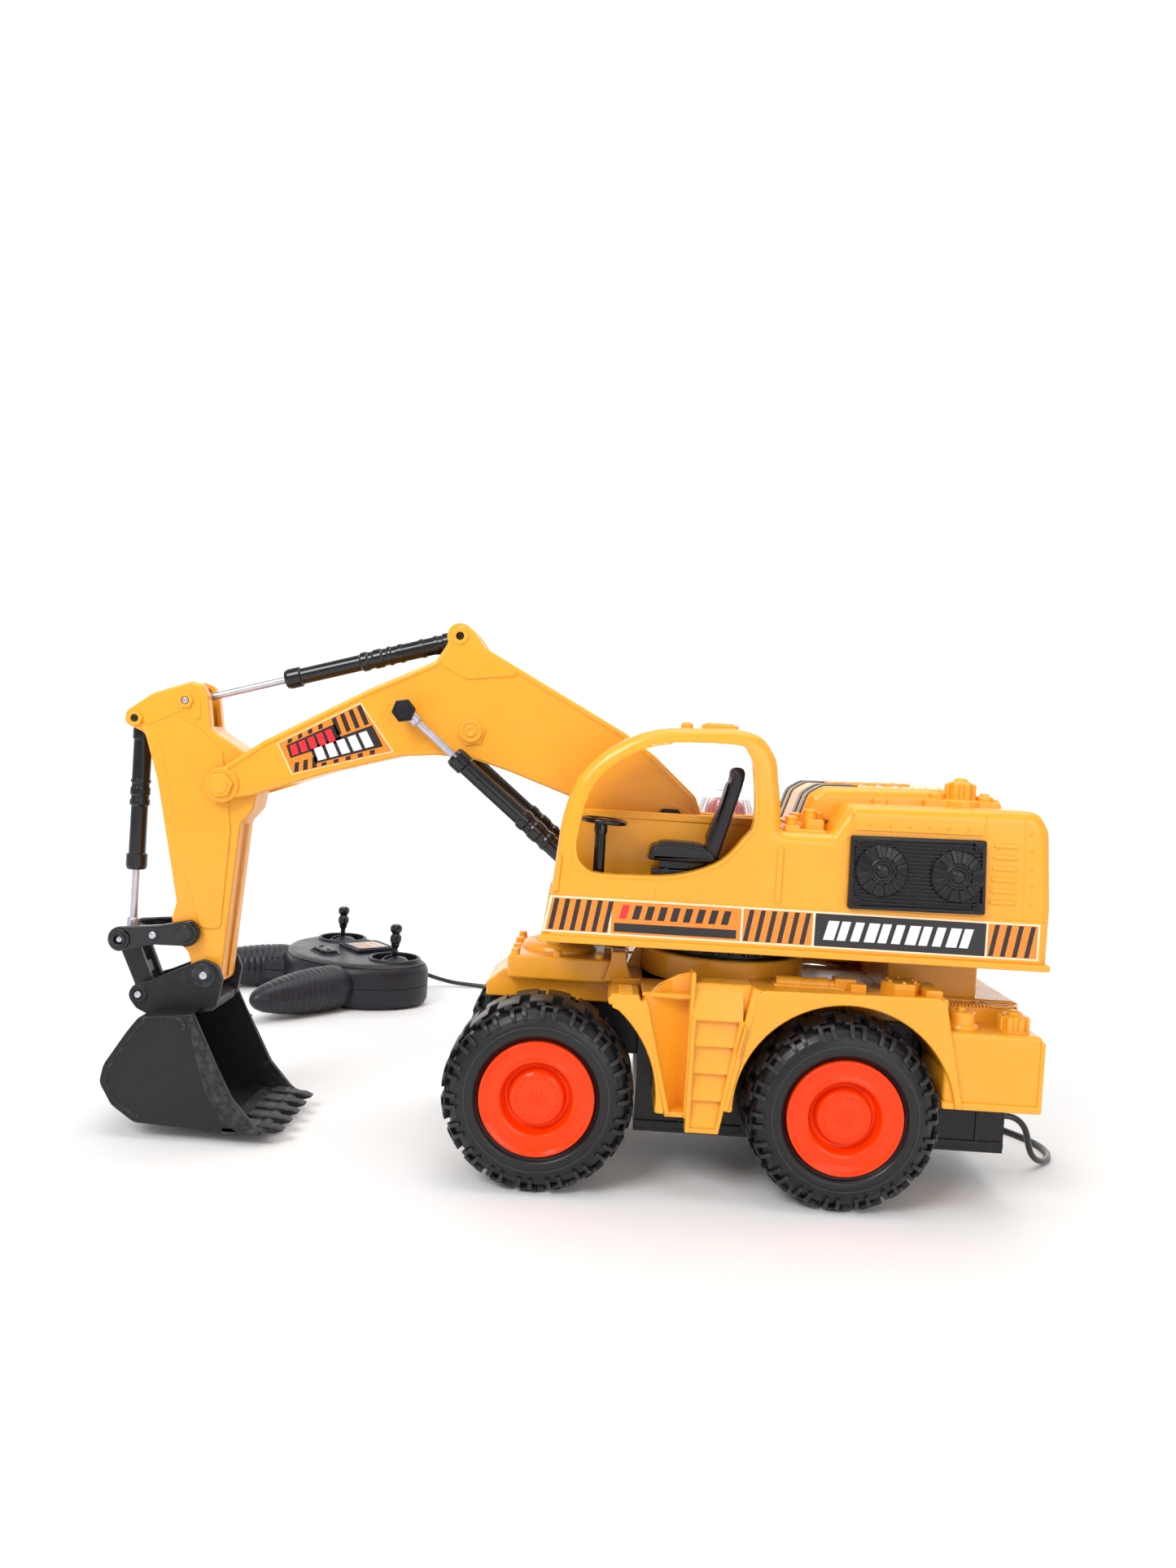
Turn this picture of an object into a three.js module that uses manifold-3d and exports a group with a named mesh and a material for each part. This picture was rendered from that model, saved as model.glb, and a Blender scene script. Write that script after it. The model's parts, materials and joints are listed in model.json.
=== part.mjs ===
// Toy wheeled excavator with a wired handset. Millimetres, +Z up, wheels on z = 0.
// The boom points along -X, the engine hood along +X, the driver's side is -Y.
import * as THREE from 'three';
import { mergeVertices } from 'three/addons/utils/BufferGeometryUtils.js';
import Module from 'manifold-3d';

const wasm = await Module();
wasm.setup();

// ---- driving dimensions -------------------------------------------------
const GAP = 0.3; // running and assembly gap between pieces
const WALL = 2.6; // moulded wall

const WHEEL = { radius: 47.5, outer: 77.5, inner: 37, frontX: -93.5, rearX: 56, lugs: 18 };
const RIM_RADIUS = 28.2;
const AXLE_RADIUS = 2.5;
const KINGPIN_Y = 25;
const STEER_ARM = 13;

const DRIVE = { gearTeeth: 24, pinionTeeth: 8, module: 1.5, gearY: [7, 13], motorRadius: 12 };
const PINION_ANGLE = THREE.MathUtils.degToRad(150);

const COLLAR = { outer: 44, inner: 38.5, top: 114.5 };
const DECK_TOP = 101;
const SIDE_Y = 66; // outer face of the chassis side walls
const FENDER_Y = 72; // outer face of the fenders
const ARCH_RADIUS = 54;

const HOUSE = { front: -97, rear: 151, half: 68, floor: 127, deck: 184 };
const SLOT_HALF = 32; // half width of the boom slot in the house

// Arm pivots as [x, z] with the arm in its low working position.
const BOOM_FOOT = [-34, 180];
const BOOM_TIP = [-273.6, 169.8];
const BOOM_ROD_EYE = [-179.4, 221.9];
const BOOM_BARREL_EYE = [-62, 139];
const STICK_BARREL_EYE = [-157, 265];
const STICK_ROD_EYE = [-300, 212];
const BUCKET_BARREL_EYE = [-326, 199];
const ROCKER_PIVOT = [-283.5, 88];
const ROCKER_END = [-318.5, 80];
const BUCKET_HINGE = [-270.5, 67];
const BUCKET_EAR = [-304.5, 52];
const ARM_RAISE = THREE.MathUtils.degToRad(4.2); // lift of the arm that clears the floor

const BOOM_HALF = 18;
const STICK_HALF = 12;
const BUCKET_HALF = 36;

const HANDSET = { x: -262, y: 332, turn: THREE.MathUtils.degToRad(-50.8), height: 36, split: 17 };
const CORD = { radius: 1.75, sides: 8, coil: [70, 128], coilInner: 16, coilOuter: 24, coilHeight: 7.4 };

// The model is built around the swing axis, then moved so that the origin lies
// under the middle of its bounding box.
const ORIGIN = [-121.76, 158.78];

// ---- materials ----------------------------------------------------------
function finish(color, roughness, metalness = 0) {
  return new THREE.MeshStandardMaterial({ color, roughness, metalness });
}

const YELLOW = finish(0xf5a81c, 0.4);
const BLACK = finish(0x17171a, 0.45);
const MATT_BLACK = finish(0x1d1d20, 0.8);
const RUBBER = finish(0x141416, 0.7);
const ORANGE = finish(0xff3d0a, 0.35);
const STEEL = finish(0xb9bac4, 0.3, 0.9);
const RED = finish(0xd11a2a, 0.3);
const CLEAR = finish(0xeef2f5, 0.1);
const GREEN = finish(0x1f6b3a, 0.6);

// ---- solids -------------------------------------------------------------
function solid(geometry) {
  geometry.deleteAttribute('normal');
  geometry.deleteAttribute('uv');
  const merged = mergeVertices(geometry, 1e-4);
  const vertProperties = new Float32Array(merged.attributes.position.array);
  const triVerts = new Uint32Array(merged.index.array);
  return new wasm.Manifold(new wasm.Mesh({ numProp: 3, vertProperties, triVerts }));
}

function join(...solids) {
  return solids.reduce((whole, next) => whole.add(next));
}

function carve(whole, ...cuts) {
  return cuts.reduce((left, cut) => left.subtract(cut), whole);
}

function box(x0, x1, y0, y1, z0, z1) {
  const geometry = new THREE.BoxGeometry(x1 - x0, y1 - y0, z1 - z0);
  geometry.translate((x0 + x1) / 2, (y0 + y1) / 2, (z0 + z1) / 2);
  return solid(geometry);
}

// The same box on both sides of the middle plane needs a sign: -1 near, +1 far.
function sideBox(side, x0, x1, inner, outer, z0, z1) {
  const ys = [side * inner, side * outer].sort((a, b) => a - b);
  return box(x0, x1, ys[0], ys[1], z0, z1);
}

function outlineShape(points) {
  return new THREE.Shape(points.map(([a, b]) => new THREE.Vector2(a, b)));
}

// An [x, z] outline given thickness from y0 to y1.
function plate(points, y0, y1) {
  const geometry = new THREE.ExtrudeGeometry(outlineShape(points), { depth: y1 - y0, bevelEnabled: false });
  geometry.rotateX(Math.PI / 2);
  geometry.translate(0, y1, 0);
  return solid(geometry);
}

function sidePlate(side, points, inner, outer) {
  const ys = [side * inner, side * outer].sort((a, b) => a - b);
  return plate(points, ys[0], ys[1]);
}

// An [x, y] outline given height from z0 to z1.
function slab(points, z0, z1) {
  const geometry = new THREE.ExtrudeGeometry(outlineShape(points), { depth: z1 - z0, bevelEnabled: false });
  geometry.translate(0, 0, z0);
  return solid(geometry);
}

// Round solids about a line along Y, from [radius, y] pairs.
function turnedY(profile, x, z, segments = 24) {
  const geometry = new THREE.LatheGeometry(profile.map(([r, y]) => new THREE.Vector2(r, y)), segments);
  geometry.translate(x, 0, z);
  return solid(geometry);
}

function discY(x, z, radius, y0, y1, segments = 20) {
  return turnedY([[0, y0], [radius, y0], [radius, y1], [0, y1]], x, z, segments);
}

// Round solids about a line along Z, from [radius, z] pairs.
function turnedZ(profile, x, y, segments = 24) {
  const points = profile.map(([r, z]) => new THREE.Vector2(r, z));
  const geometry = new THREE.LatheGeometry(points, segments);
  geometry.rotateX(Math.PI / 2);
  geometry.translate(x, y, 0);
  return solid(geometry);
}

function discZ(x, y, radius, z0, z1, segments = 20) {
  return turnedZ([[0, z0], [radius, z0], [radius, z1], [0, z1]], x, y, segments);
}

// A round solid along the line between two [x, z] points, from [radius, distance] pairs.
function strut(profile, from, to, y, segments = 12) {
  const points = profile.map(([r, t]) => new THREE.Vector2(r, t));
  const geometry = new THREE.LatheGeometry(points, segments);
  geometry.rotateX(Math.PI / 2);
  geometry.rotateY(Math.atan2(to[0] - from[0], to[1] - from[1]));
  geometry.translate(from[0], y, from[1]);
  return solid(geometry);
}

// Outline moved inward by a distance (counter-clockwise points).
function inset(points, distance) {
  const count = points.length;
  return points.map((point, i) => {
    const before = points[(i + count - 1) % count];
    const after = points[(i + 1) % count];
    const a = new THREE.Vector2(point[0] - before[0], point[1] - before[1]).normalize();
    const b = new THREE.Vector2(after[0] - point[0], after[1] - point[1]).normalize();
    const normal = new THREE.Vector2(-a.y - b.y, a.x + b.x).normalize();
    const stretch = distance / Math.max(0.5, normal.dot(new THREE.Vector2(-a.y, a.x)));
    return [point[0] + normal.x * stretch, point[1] + normal.y * stretch];
  });
}

// Points on a circle about [cx, cz], angles in degrees.
function arc(cx, cz, radius, from, to, steps) {
  return Array.from({ length: steps + 1 }, (_, i) => {
    const angle = THREE.MathUtils.degToRad(from + ((to - from) * i) / steps);
    return [cx + radius * Math.cos(angle), cz + radius * Math.sin(angle)];
  });
}

function raised([x, z]) {
  const dx = x - BOOM_FOOT[0];
  const dz = z - BOOM_FOOT[1];
  const c = Math.cos(ARM_RAISE);
  const s = Math.sin(ARM_RAISE);
  return [BOOM_FOOT[0] + dx * c + dz * s, BOOM_FOOT[1] - dx * s + dz * c];
}

const model = new THREE.Group();

function piece(name, manifold, material, parent = model) {
  const mesh = manifold.getMesh();
  const geometry = new THREE.BufferGeometry();
  geometry.setAttribute('position', new THREE.BufferAttribute(new Float32Array(mesh.vertProperties), 3));
  geometry.setIndex(new THREE.BufferAttribute(new Uint32Array(mesh.triVerts), 1));
  geometry.computeVertexNormals();
  const node = new THREE.Mesh(geometry, material);
  node.name = name;
  parent.add(node);
}

// ---- wheels -------------------------------------------------------------
// A tyre is a ring with a lug for every step of its tread and bevelled shoulders.
function tyre(side, x) {
  const { outer, inner, radius, lugs } = WHEEL;
  const bevel = 3;
  const groove = 2.2;
  const step = (2 * Math.PI) / lugs;
  const lugShare = 0.26;
  const top = (radius - bevel) / Math.cos(lugShare * step);
  const corners = [[-0.34, top - groove], [-lugShare, top], [lugShare, top], [0.34, top - groove]];
  const outline = Array.from({ length: lugs }, (_, lug) => corners.map(([share, r]) => {
    const angle = (lug + share) * step - Math.PI / 2;
    return [r * Math.cos(angle), r * Math.sin(angle)];
  })).flat();
  const shape = outlineShape(outline);
  const depth = outer - inner - 2 * bevel;
  const geometry = new THREE.ExtrudeGeometry(shape, { depth, bevelThickness: bevel, bevelSize: bevel,
    bevelSegments: 1 });
  geometry.translate(0, 0, -depth / 2);
  geometry.rotateX(Math.PI / 2);
  geometry.translate(x, (side * (outer + inner)) / 2, radius);
  return solid(geometry).subtract(discY(x, radius, RIM_RADIUS + GAP, -90, 90, 28));
}

function rim(side, x, bore) {
  const face = WHEEL.outer - 0.5;
  const profile = [
    [0, face], [13, face - 1], [16.5, face - 6], [21.5, face - 7], [RIM_RADIUS, face],
    [RIM_RADIUS, 39], [25, face - 11], [8, face - 11], [8, 44], [bore, 44], [bore, 70], [0, 70],
  ].map(([r, y]) => [r, side * y]);
  return turnedY(side > 0 ? profile.reverse() : profile, x, WHEEL.radius, 22);
}

function wheelPair(prefix, x) {
  for (const [word, side] of [['near', -1], ['far', 1]]) {
    piece(`${prefix}_tyre_${word}`, tyre(side, x), RUBBER);
    piece(`${prefix}_rim_${word}`, rim(side, x, AXLE_RADIUS + GAP), ORANGE);
  }
}

// ---- gears --------------------------------------------------------------
function gearOutline(teeth, module, cx, cz, phase) {
  const pitch = (teeth * module) / 2;
  const step = (2 * Math.PI) / teeth;
  const root = pitch - 1.25 * module;
  const tip = pitch + 0.75 * module;
  const corners = [[-0.28, root], [-0.12, tip], [0.12, tip], [0.28, root]];
  return Array.from({ length: teeth }, (_, tooth) =>
    corners.map(([share, radius]) => {
      const angle = phase + (tooth + share) * step;
      return [cx + radius * Math.cos(angle), cz + radius * Math.sin(angle)];
    })).flat();
}

const PINION_DISTANCE = ((DRIVE.gearTeeth + DRIVE.pinionTeeth) * DRIVE.module) / 2 + 0.4;
const PINION_X = WHEEL.rearX + PINION_DISTANCE * Math.cos(PINION_ANGLE);
const PINION_Z = WHEEL.radius + PINION_DISTANCE * Math.sin(PINION_ANGLE);

function driveTrain() {
  const { gearTeeth, pinionTeeth, module, gearY, motorRadius } = DRIVE;
  const axle = discY(WHEEL.rearX, WHEEL.radius, AXLE_RADIUS, -69.5, 69.5, 16);
  piece('rear_axle', axle, STEEL);
  const bore = discY(WHEEL.rearX, WHEEL.radius, AXLE_RADIUS + GAP, gearY[0] - 6, gearY[1] + 6, 16);
  const hub = discY(WHEEL.rearX, WHEEL.radius, 6, gearY[0] - 4, gearY[1] + 4);
  const gear = plate(gearOutline(gearTeeth, module, WHEEL.rearX, WHEEL.radius, PINION_ANGLE), ...gearY);
  piece('drive_gear', carve(join(gear, hub), bore), BLACK);
  const pinionPhase = PINION_ANGLE + Math.PI + Math.PI / pinionTeeth;
  const pinion = plate(gearOutline(pinionTeeth, module, PINION_X, PINION_Z, pinionPhase), gearY[0] - 1,
    gearY[1] + 1);
  piece('motor_pinion', carve(pinion, discY(PINION_X, PINION_Z, 1.3, 0, 20, 12)), STEEL);
  const can = discY(PINION_X, PINION_Z, motorRadius, -26, 3);
  const shaft = discY(PINION_X, PINION_Z, 1, 2, gearY[1] + 3, 12);
  piece('drive_motor', join(can, discY(PINION_X, PINION_Z, 4, 2, 4.5, 16), shaft), STEEL);
}

// ---- steering -----------------------------------------------------------
function steering() {
  const x = WHEEL.frontX;
  const z = WHEEL.radius;
  const beam = box(x - 8, x + 8, -31, 31, z - 9, z + 9);
  const pockets = [-1, 1].map((side) => sideBox(side, x - 9, x + 9, 19.5, 32, z - 6.5, z + 6.5));
  const pinHoles = [-1, 1].map((side) => discZ(x, side * KINGPIN_Y, 2.3, z - 12, z + 12, 14));
  piece('front_axle_beam', carve(beam, ...pockets, ...pinHoles), BLACK);
  for (const [word, side] of [['near', -1], ['far', 1]]) {
    const block = sideBox(side, x - 5, x + 5, 21, 30, z - 6, z + 6);
    const kingpin = discZ(x, side * KINGPIN_Y, 2, z - 8.5, z + 8.5, 14);
    const stub = discY(x, z, AXLE_RADIUS, Math.min(side * 28, side * 69.5),
      Math.max(side * 28, side * 69.5), 16);
    const arm = sideBox(side, x, x + STEER_ARM + 3, KINGPIN_Y - 3, KINGPIN_Y + 3, z - 6, z - 2.5);
    const peg = discZ(x + STEER_ARM, side * KINGPIN_Y, 1.5, z - 12, z - 5, 12);
    piece(`steering_knuckle_${word}`, join(block, kingpin, stub, arm, peg), BLACK);
  }
  const rod = box(x + STEER_ARM - 3.2, x + STEER_ARM + 3.2, -KINGPIN_Y - 4, KINGPIN_Y + 4, z - 10.5, z - 7);
  const holes = [-1, 1].map((side) => discZ(x + STEER_ARM, side * KINGPIN_Y, 2.2, z - 13, z - 5, 12));
  const relief = box(x - 9, x + STEER_ARM + 4, -20, 20, z - 9.3, z - 6);
  piece('tie_rod', carve(rod, ...holes), BLACK);
  return relief;
}

// ---- chassis ------------------------------------------------------------
function chassisDeck() {
  const top = DECK_TOP;
  const platformTop = 109;
  const rearTop = 92;
  const coverTop = 120;
  const rearDeck = 100;
  const outers = [
    box(-60, 150, -34, 34, 86, top), // spine between the wheels
    box(-115, -57, -30, 30, 97, platformTop), // front platform
    box(-126, -56, -22, 22, 84, 99), // front apron
    box(83, 130, -30, 30, 99, coverTop), // tall cover behind the collar
    box(100, 152, -70, 70, 54, rearTop), // rear block
    box(100, 147, -44, 44, 90, rearDeck), // rear deck
  ];
  const rooms = [
    box(-57, 147, -31, 31, 80, top - WALL),
    box(-112, -54, -27, 27, 90, platformTop - WALL),
    box(-123, -50, -19, 19, 80, 99.5),
    box(86, 127, -27, 27, 90, coverTop - WALL),
    box(97, 149, -67, 67, 50, rearTop - WALL),
    box(97, 144, -41, 41, 80, rearDeck - WALL),
  ];
  const hatchProfile = [
    [0, platformTop - 1], [18, platformTop - 1], [18, platformTop + 2], [0, platformTop + 2.6],
  ];
  const hatch = turnedZ(hatchProfile, -89, 0, 18);
  const { inner, outer } = COLLAR;
  const collarProfile = [[inner, 96], [outer, 96], [outer, COLLAR.top], [inner, COLLAR.top], [inner, 96]];
  const collar = turnedZ(collarProfile, 0, 0, 28);
  const wheelRoom = [-1, 1].map((side) => {
    const ys = side > 0 ? [34.5, 90] : [-90, -34.5];
    const round = discY(WHEEL.rearX, WHEEL.radius, ARCH_RADIUS, ...ys, 26);
    const [x0, x1] = [WHEEL.rearX - ARCH_RADIUS, WHEEL.rearX + ARCH_RADIUS];
    return round.add(sideBox(side, x0, x1, 34.5, 90, -5, WHEEL.radius));
  });
  const deck = join(...outers, hatch, ...chassisSide(-1), ...chassisSide(1));
  return join(carve(deck, ...rooms, ...wheelRoom, discZ(0, 0, COLLAR.inner, 80, 130, 28)), collar);
}

function chassisSide(side) {
  const wall = [[-33, 41], [12, 41], [12, 108], [-22, 108], [-36, 103], [-45, 92]];
  const shoulder = sideBox(side, -46, 12, 33, SIDE_Y, DECK_TOP - WALL, DECK_TOP);
  const pad = sideBox(side, -61, -44, 33, 70, 93, 99.5);
  const guard = sidePlate(side, [[-49, 94], [-34, 42], [-31, 42], [-45, 94]], 40, 70);
  const ladder = sidePlate(side, [[-20, 35], [-5, 35], [9, 108], [-21, 108]], SIDE_Y - WALL, 71);
  const fender = [[-2, 46], [3, 46], [108, 54], [113, 54], [101, 108], [12, 106]];
  const fenderWall = sidePlate(side, fender, FENDER_Y - 4, FENDER_Y);
  const fenderTop = sideBox(side, 10, 102, 33, FENDER_Y, 103, 106);
  const post = sideBox(side, -62, -52, 24, 33, 98, 113);
  const caps = [113, 140].map((x, i) => discZ(x, side * 58, 7 - i, 90, 100 + i, 10));
  const cap = discZ(84, side * 54, 9, 104, 111, 6);
  const pipe = sideBox(side, 22, 62, 48, 55, 105, 109);
  const rungs = [0, 1, 2, 3].map((i) => {
    const z = 89 - i * 16;
    return sideBox(side, -20.5, 5 - i * 3, 70, 73.5, z, z + 2.2);
  });
  const sideWall = sidePlate(side, wall, SIDE_Y - WALL, SIDE_Y);
  return [sideWall, shoulder, pad, guard, ladder, fenderWall, fenderTop, post, ...caps, cap, pipe, ...rungs];
}

function undertray(relief) {
  const main = carve(box(-44, 149, -30.5, 30.5, 20, 85.5), box(-41.4, 146.4, -27.9, 27.9, 22.6, 90));
  const nose = carve(box(-124, -42, -18, 18, 57, 83.5), box(-121.4, -41, -15.4, 15.4, 59.6, 90));
  const axleHole = discY(WHEEL.rearX, WHEEL.radius, AXLE_RADIUS + 0.5, -40, 40, 16);
  const gland = box(140, 155, -2.6, 2.6, 28, 33);
  const cover = box(-31, 31, -21, 21, 19, 23.5);
  return carve(join(main, nose), axleHole, gland, cover, relief);
}

function chassis() {
  const relief = steering();
  piece('chassis_deck', chassisDeck(), YELLOW);
  const beamRoom = box(WHEEL.frontX - 9, WHEEL.frontX + 9, -32, 32, 30, WHEEL.radius + 9 + GAP);
  piece('chassis_undertray', carve(undertray(relief), beamRoom), BLACK);
  piece('bottom_cover', box(-30.7, 30.7, -20.7, 20.7, 20, 22.6), BLACK);
  const sleeveProfile = [[0, 0], [4, 0], [4, 2], [3, 3], [2.5, 9], [0, 9]];
  const sleeve = strut(sleeveProfile, [149.3, 30.5], [160, 30.5], 0, 12);
  const stem = box(146, 150, -2.3, 2.3, 28.3, 32.7);
  piece('strain_relief', join(sleeve, stem), MATT_BLACK);
}

// ---- house --------------------------------------------------------------
const CAB_OUTLINE = [
  [22, 127], [22, 184], [18, 184], [17, 197], [14, 219], [7, 229], [-4, 232.6], [-42, 231],
  [-56, 227], [-69, 219], [-80, 209], [-86, 198], [-89.7, 182], [-91.6, 160], [-93.3, 141], [-97, 127],
];
const WINDOW_OUTLINE = [
  [-22.8, 161.8], [-9.7, 168.2], [-0.4, 179], [4.6, 188], [2.5, 214], [-0.5, 221.5], [-6.5, 225],
  [-40.5, 224], [-53.7, 219.3], [-65.2, 212.7], [-76.3, 198.5], [-81.1, 177.8], [-81.3, 167.4],
  [-77.3, 160.9], [-68.7, 157.8], [-39.7, 158.4],
];
const HOOD_OUTLINE = [
  [151, 127], [151, 154], [148, 192], [143, 199.5], [138, 200.8], [51, 199], [42, 184], [18, 184], [18, 127],
];
const BULGE_OUTLINE = [
  [120, 195], [118, 203], [112, 208.5], [42, 206.5], [35, 202], [29, 184], [45, 182],
];
const FAR_OUTLINE = [[22, 127], [22, 184], [-78, 184], [-88, 172], [-97, 127]];

function openBelow(points) {
  return points.map(([x, z]) => [x, z < HOUSE.floor + 2 * WALL ? HOUSE.floor - 5 : z]);
}

function houseShell() {
  const { half } = HOUSE;
  const cab = plate(CAB_OUTLINE, -half, -SLOT_HALF);
  const hood = plate(HOOD_OUTLINE, -half, half);
  const bulge = plate(BULGE_OUTLINE, -42, 42);
  const farDeck = plate(FAR_OUTLINE, SLOT_HALF, half);
  const sill = plate([[-91, 127], [-91.5, 148], [-94.2, 148], [-97, 127]], -SLOT_HALF - 1, SLOT_HALF + 1);
  const capPlaces = [
    [111, -40, 7, 216], [99, -42, 4, 210], [121, -40, 4, 207], [30, -50, 7, 195], [23, -56, 4, 192],
  ];
  const caps = capPlaces.map(([x, y, r, z]) => discZ(x, y, r, z > 200 ? 198 : 182, z, 12));
  const nub = discZ(-30, -50, 3, 230, 235, 12);
  const vent = box(-22, -5, -58, -42, 230, 234.6);
  const outer = join(cab, hood, bulge, farDeck, sill, ...caps, nub, vent);
  const cabRoom = plate(openBelow(inset(CAB_OUTLINE, WALL)), -half + WALL, -SLOT_HALF - WALL);
  const hoodRoom = plate(openBelow(inset(HOOD_OUTLINE, WALL)), -half + WALL, half - WALL);
  const farRoom = plate(openBelow(inset(FAR_OUTLINE, WALL)), SLOT_HALF + WALL, half - WALL);
  const window = plate(WINDOW_OUTLINE, -half - 5, -half + WALL + 1);
  const aboveDeck = box(-100, 20, -50, 0, HOUSE.deck, 240);
  const innerWindow = plate(inset(CAB_OUTLINE, 6), -SLOT_HALF - 5, -SLOT_HALF + 2).intersect(aboveDeck);
  const cabCore = plate(inset(CAB_OUTLINE, WALL + 3), -70, -30);
  const windscreen = box(-100, -72, -62, -38, 168, 206).subtract(cabCore);
  const floorRoom = box(HOUSE.front + 5.5, HOUSE.rear - 5, 3 - half, half - 3, 120, HOUSE.floor + 4.3);
  return carve(outer, cabRoom, hoodRoom, farRoom, window, innerWindow, windscreen, floorRoom);
}

function houseFloor() {
  const base = box(-91.2, 145.7, -64.7, 64.7, 128, 131);
  const [fx, fz] = BOOM_FOOT;
  const [bx, bz] = BOOM_BARREL_EYE;
  const footCheek = [[fx - 14, 130], [fx + 14, 130], [fx + 9, fz + 4], [fx + 4, fz + 9], [fx - 4, fz + 9],
    [fx - 9, fz + 4]];
  const barrelCheek = [[bx - 7, 130], [bx + 7, 130], [bx + 5, bz + 5], [bx - 5, bz + 5]];
  const cheeks = [-1, 1].flatMap((side) => [
    sidePlate(side, footCheek, 19, 22.5),
    sidePlate(side, barrelCheek, 18, 20.9),
    discY(bx, bz, 2.2, Math.min(side * 20, side * 30), Math.max(side * 20, side * 30), 12),
  ]);
  const footPin = discY(fx, fz, 3, -23.5, 23.5, 16);
  const spigotHole = discZ(0, 0, 30, 120, 140, 24);
  return carve(join(base, ...cheeks, footPin), spigotHole);
}

function slewRing() {
  const teeth = gearOutline(30, 2.9, 0, 0, 0);
  const ring = slab(teeth, 116.5, 124);
  const spigot = discZ(0, 0, COLLAR.inner - 1, 99, 127.7, 24);
  return carve(join(ring, spigot), discZ(0, 0, 33, 90, 130, 20));
}

function grille(side) {
  const face = [[52, 149.5], [117, 150], [116, 185.5], [51.5, 184.5]];
  const slotPitch = 6.2;
  const slots = [0, 1, 2, 3, 4].map((i) => {
    const z = 154.5 + i * slotPitch;
    return sideBox(side, 58, 110, 70.6, 75, z, 157 + i * slotPitch);
  });
  const fans = [66.5, 103].map((x) => {
    const ys = [side * 69, side * 73.5].sort((a, b) => a - b);
    return discY(x, 167.8, 12.3, ys[0], ys[1]);
  });
  return join(carve(sidePlate(side, face, 68 + GAP, 71.4), ...slots), ...fans);
}

function cabFurniture() {
  const seatBase = box(-45, -14, -61, -40, 164, 173);
  const back = plate([[-17, 166], [-10, 166], [-0.5, 208], [-3, 212], [-6, 211], [-10, 196]], -60, -41);
  const post = join(box(-36, -18, -56, -45, 131.3, 165), box(-44, -14, -60, -41, 157, 161));
  piece('cab_seat', join(seatBase, back, post), BLACK);
  const column = discZ(-71, -52, 2.6, 131.3, 182, 14);
  const ring = turnedZ([[9, 181], [11.5, 181], [11.5, 184], [9, 184], [9, 181]], -68.5, -52, 20);
  const spokes = join(box(-79, -58, -53.2, -50.8, 181, 183.4), box(-69.7, -67.3, -62, -42, 181, 183.4));
  piece('cab_steering_wheel', join(column, ring, spokes), BLACK);
}

function house() {
  piece('house_shell', houseShell(), YELLOW);
  piece('house_floor', houseFloor(), BLACK);
  piece('slew_ring', slewRing(), BLACK);
  piece('grille_near', grille(-1), BLACK);
  piece('grille_far', grille(1), BLACK);
  cabFurniture();
  const top = HOUSE.deck + GAP;
  const lens = [
    [0, top + 15.5], [8, top + 14], [13.5, top + 9.5], [17, top], // outside
    [15.5, top], [12, top + 8], [7, top + 12.2], [0, top + 13.5], // inside
  ];
  const lamp = [[0, top], [12, top], [10.5, top + 5], [6, top + 9], [0, top + 10]];
  const [domeX, domeY] = [2, 46];
  piece('dome_lens', turnedZ(lens.reverse(), domeX, domeY, 24), CLEAR);
  piece('dome_lamp', turnedZ(lamp, domeX, domeY, 20), RED);
  const can = discZ(64, 0, 12, 131.3, 160);
  piece('swing_motor', join(can, discZ(64, 0, 4, 159, 162, 16)), STEEL);
}

// ---- arm ----------------------------------------------------------------
const arm = new THREE.Group();
arm.position.set(BOOM_FOOT[0], 0, BOOM_FOOT[1]);
arm.rotation.y = ARM_RAISE;
model.add(arm);
const lowArm = new THREE.Group();
lowArm.position.set(-BOOM_FOOT[0], 0, -BOOM_FOOT[1]);
arm.add(lowArm);

const BOOM_OUTLINE = [
  ...arc(...BOOM_FOOT, 18, 270, 380, 6),
  [-22, 197], [-46.6, 215.9], [-63.6, 225.7], [-117.2, 249.3], [-143, 260.7], [-150.3, 269],
  [-156.5, 272.4], [-162, 267.5], [-163.5, 259.5], [-168.4, 250.2], [-201.6, 231], [-254.3, 196.2],
  [-272, 181.5],
  ...arc(...BOOM_TIP, 8.5, 150, 270, 4),
  [-256.3, 166.5], [-218.3, 183.6], [-180.3, 197.6], [-160.9, 200.8], [-141.8, 201.2], [-122.1, 197.2],
  [-88.6, 188.3], [-60, 172],
];

function boomHalf(side) {
  const outer = sidePlate(side, BOOM_OUTLINE, GAP / 2, BOOM_HALF);
  const room = sidePlate(side, inset(BOOM_OUTLINE, WALL), 0, BOOM_HALF - WALL);
  const fork = sideBox(side, -290, -238, 0, BOOM_HALF - WALL, 150, 215);
  const clevis = sideBox(side, -180, -140, 0, 6, 246, 280);
  const boreList = [[BOOM_FOOT, 3.3], [BOOM_ROD_EYE, 2.6], [STICK_BARREL_EYE, 2.1], [BOOM_TIP, 2.9]];
  const bores = boreList.map(([[x, z], r]) => discY(x, z, r, -40, 40, 12));
  const ear = sidePlate(side, arc(...STICK_BARREL_EYE, 7, 0, 360, 11).slice(0, 11), 6, BOOM_HALF - 1);
  const cap = sidePlate(side, arc(-144.8, 215.7, 6.5, 0, 300, 5), BOOM_HALF - 1, BOOM_HALF + 1.6);
  return join(carve(outer, room), ear, cap).subtract(join(...bores)).subtract(join(fork, clevis));
}

// A pin along Y with a hexagonal head at each end.
function hexPin([x, z], radius, reach, head) {
  const heads = [-1, 1].map((side) => {
    const ys = [side * reach, side * (reach + 2.6)].sort((a, b) => a - b);
    return discY(x, z, head, ys[0], ys[1], 6);
  });
  return join(discY(x, z, radius, -reach - 1, reach + 1, 14), ...heads);
}

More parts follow.
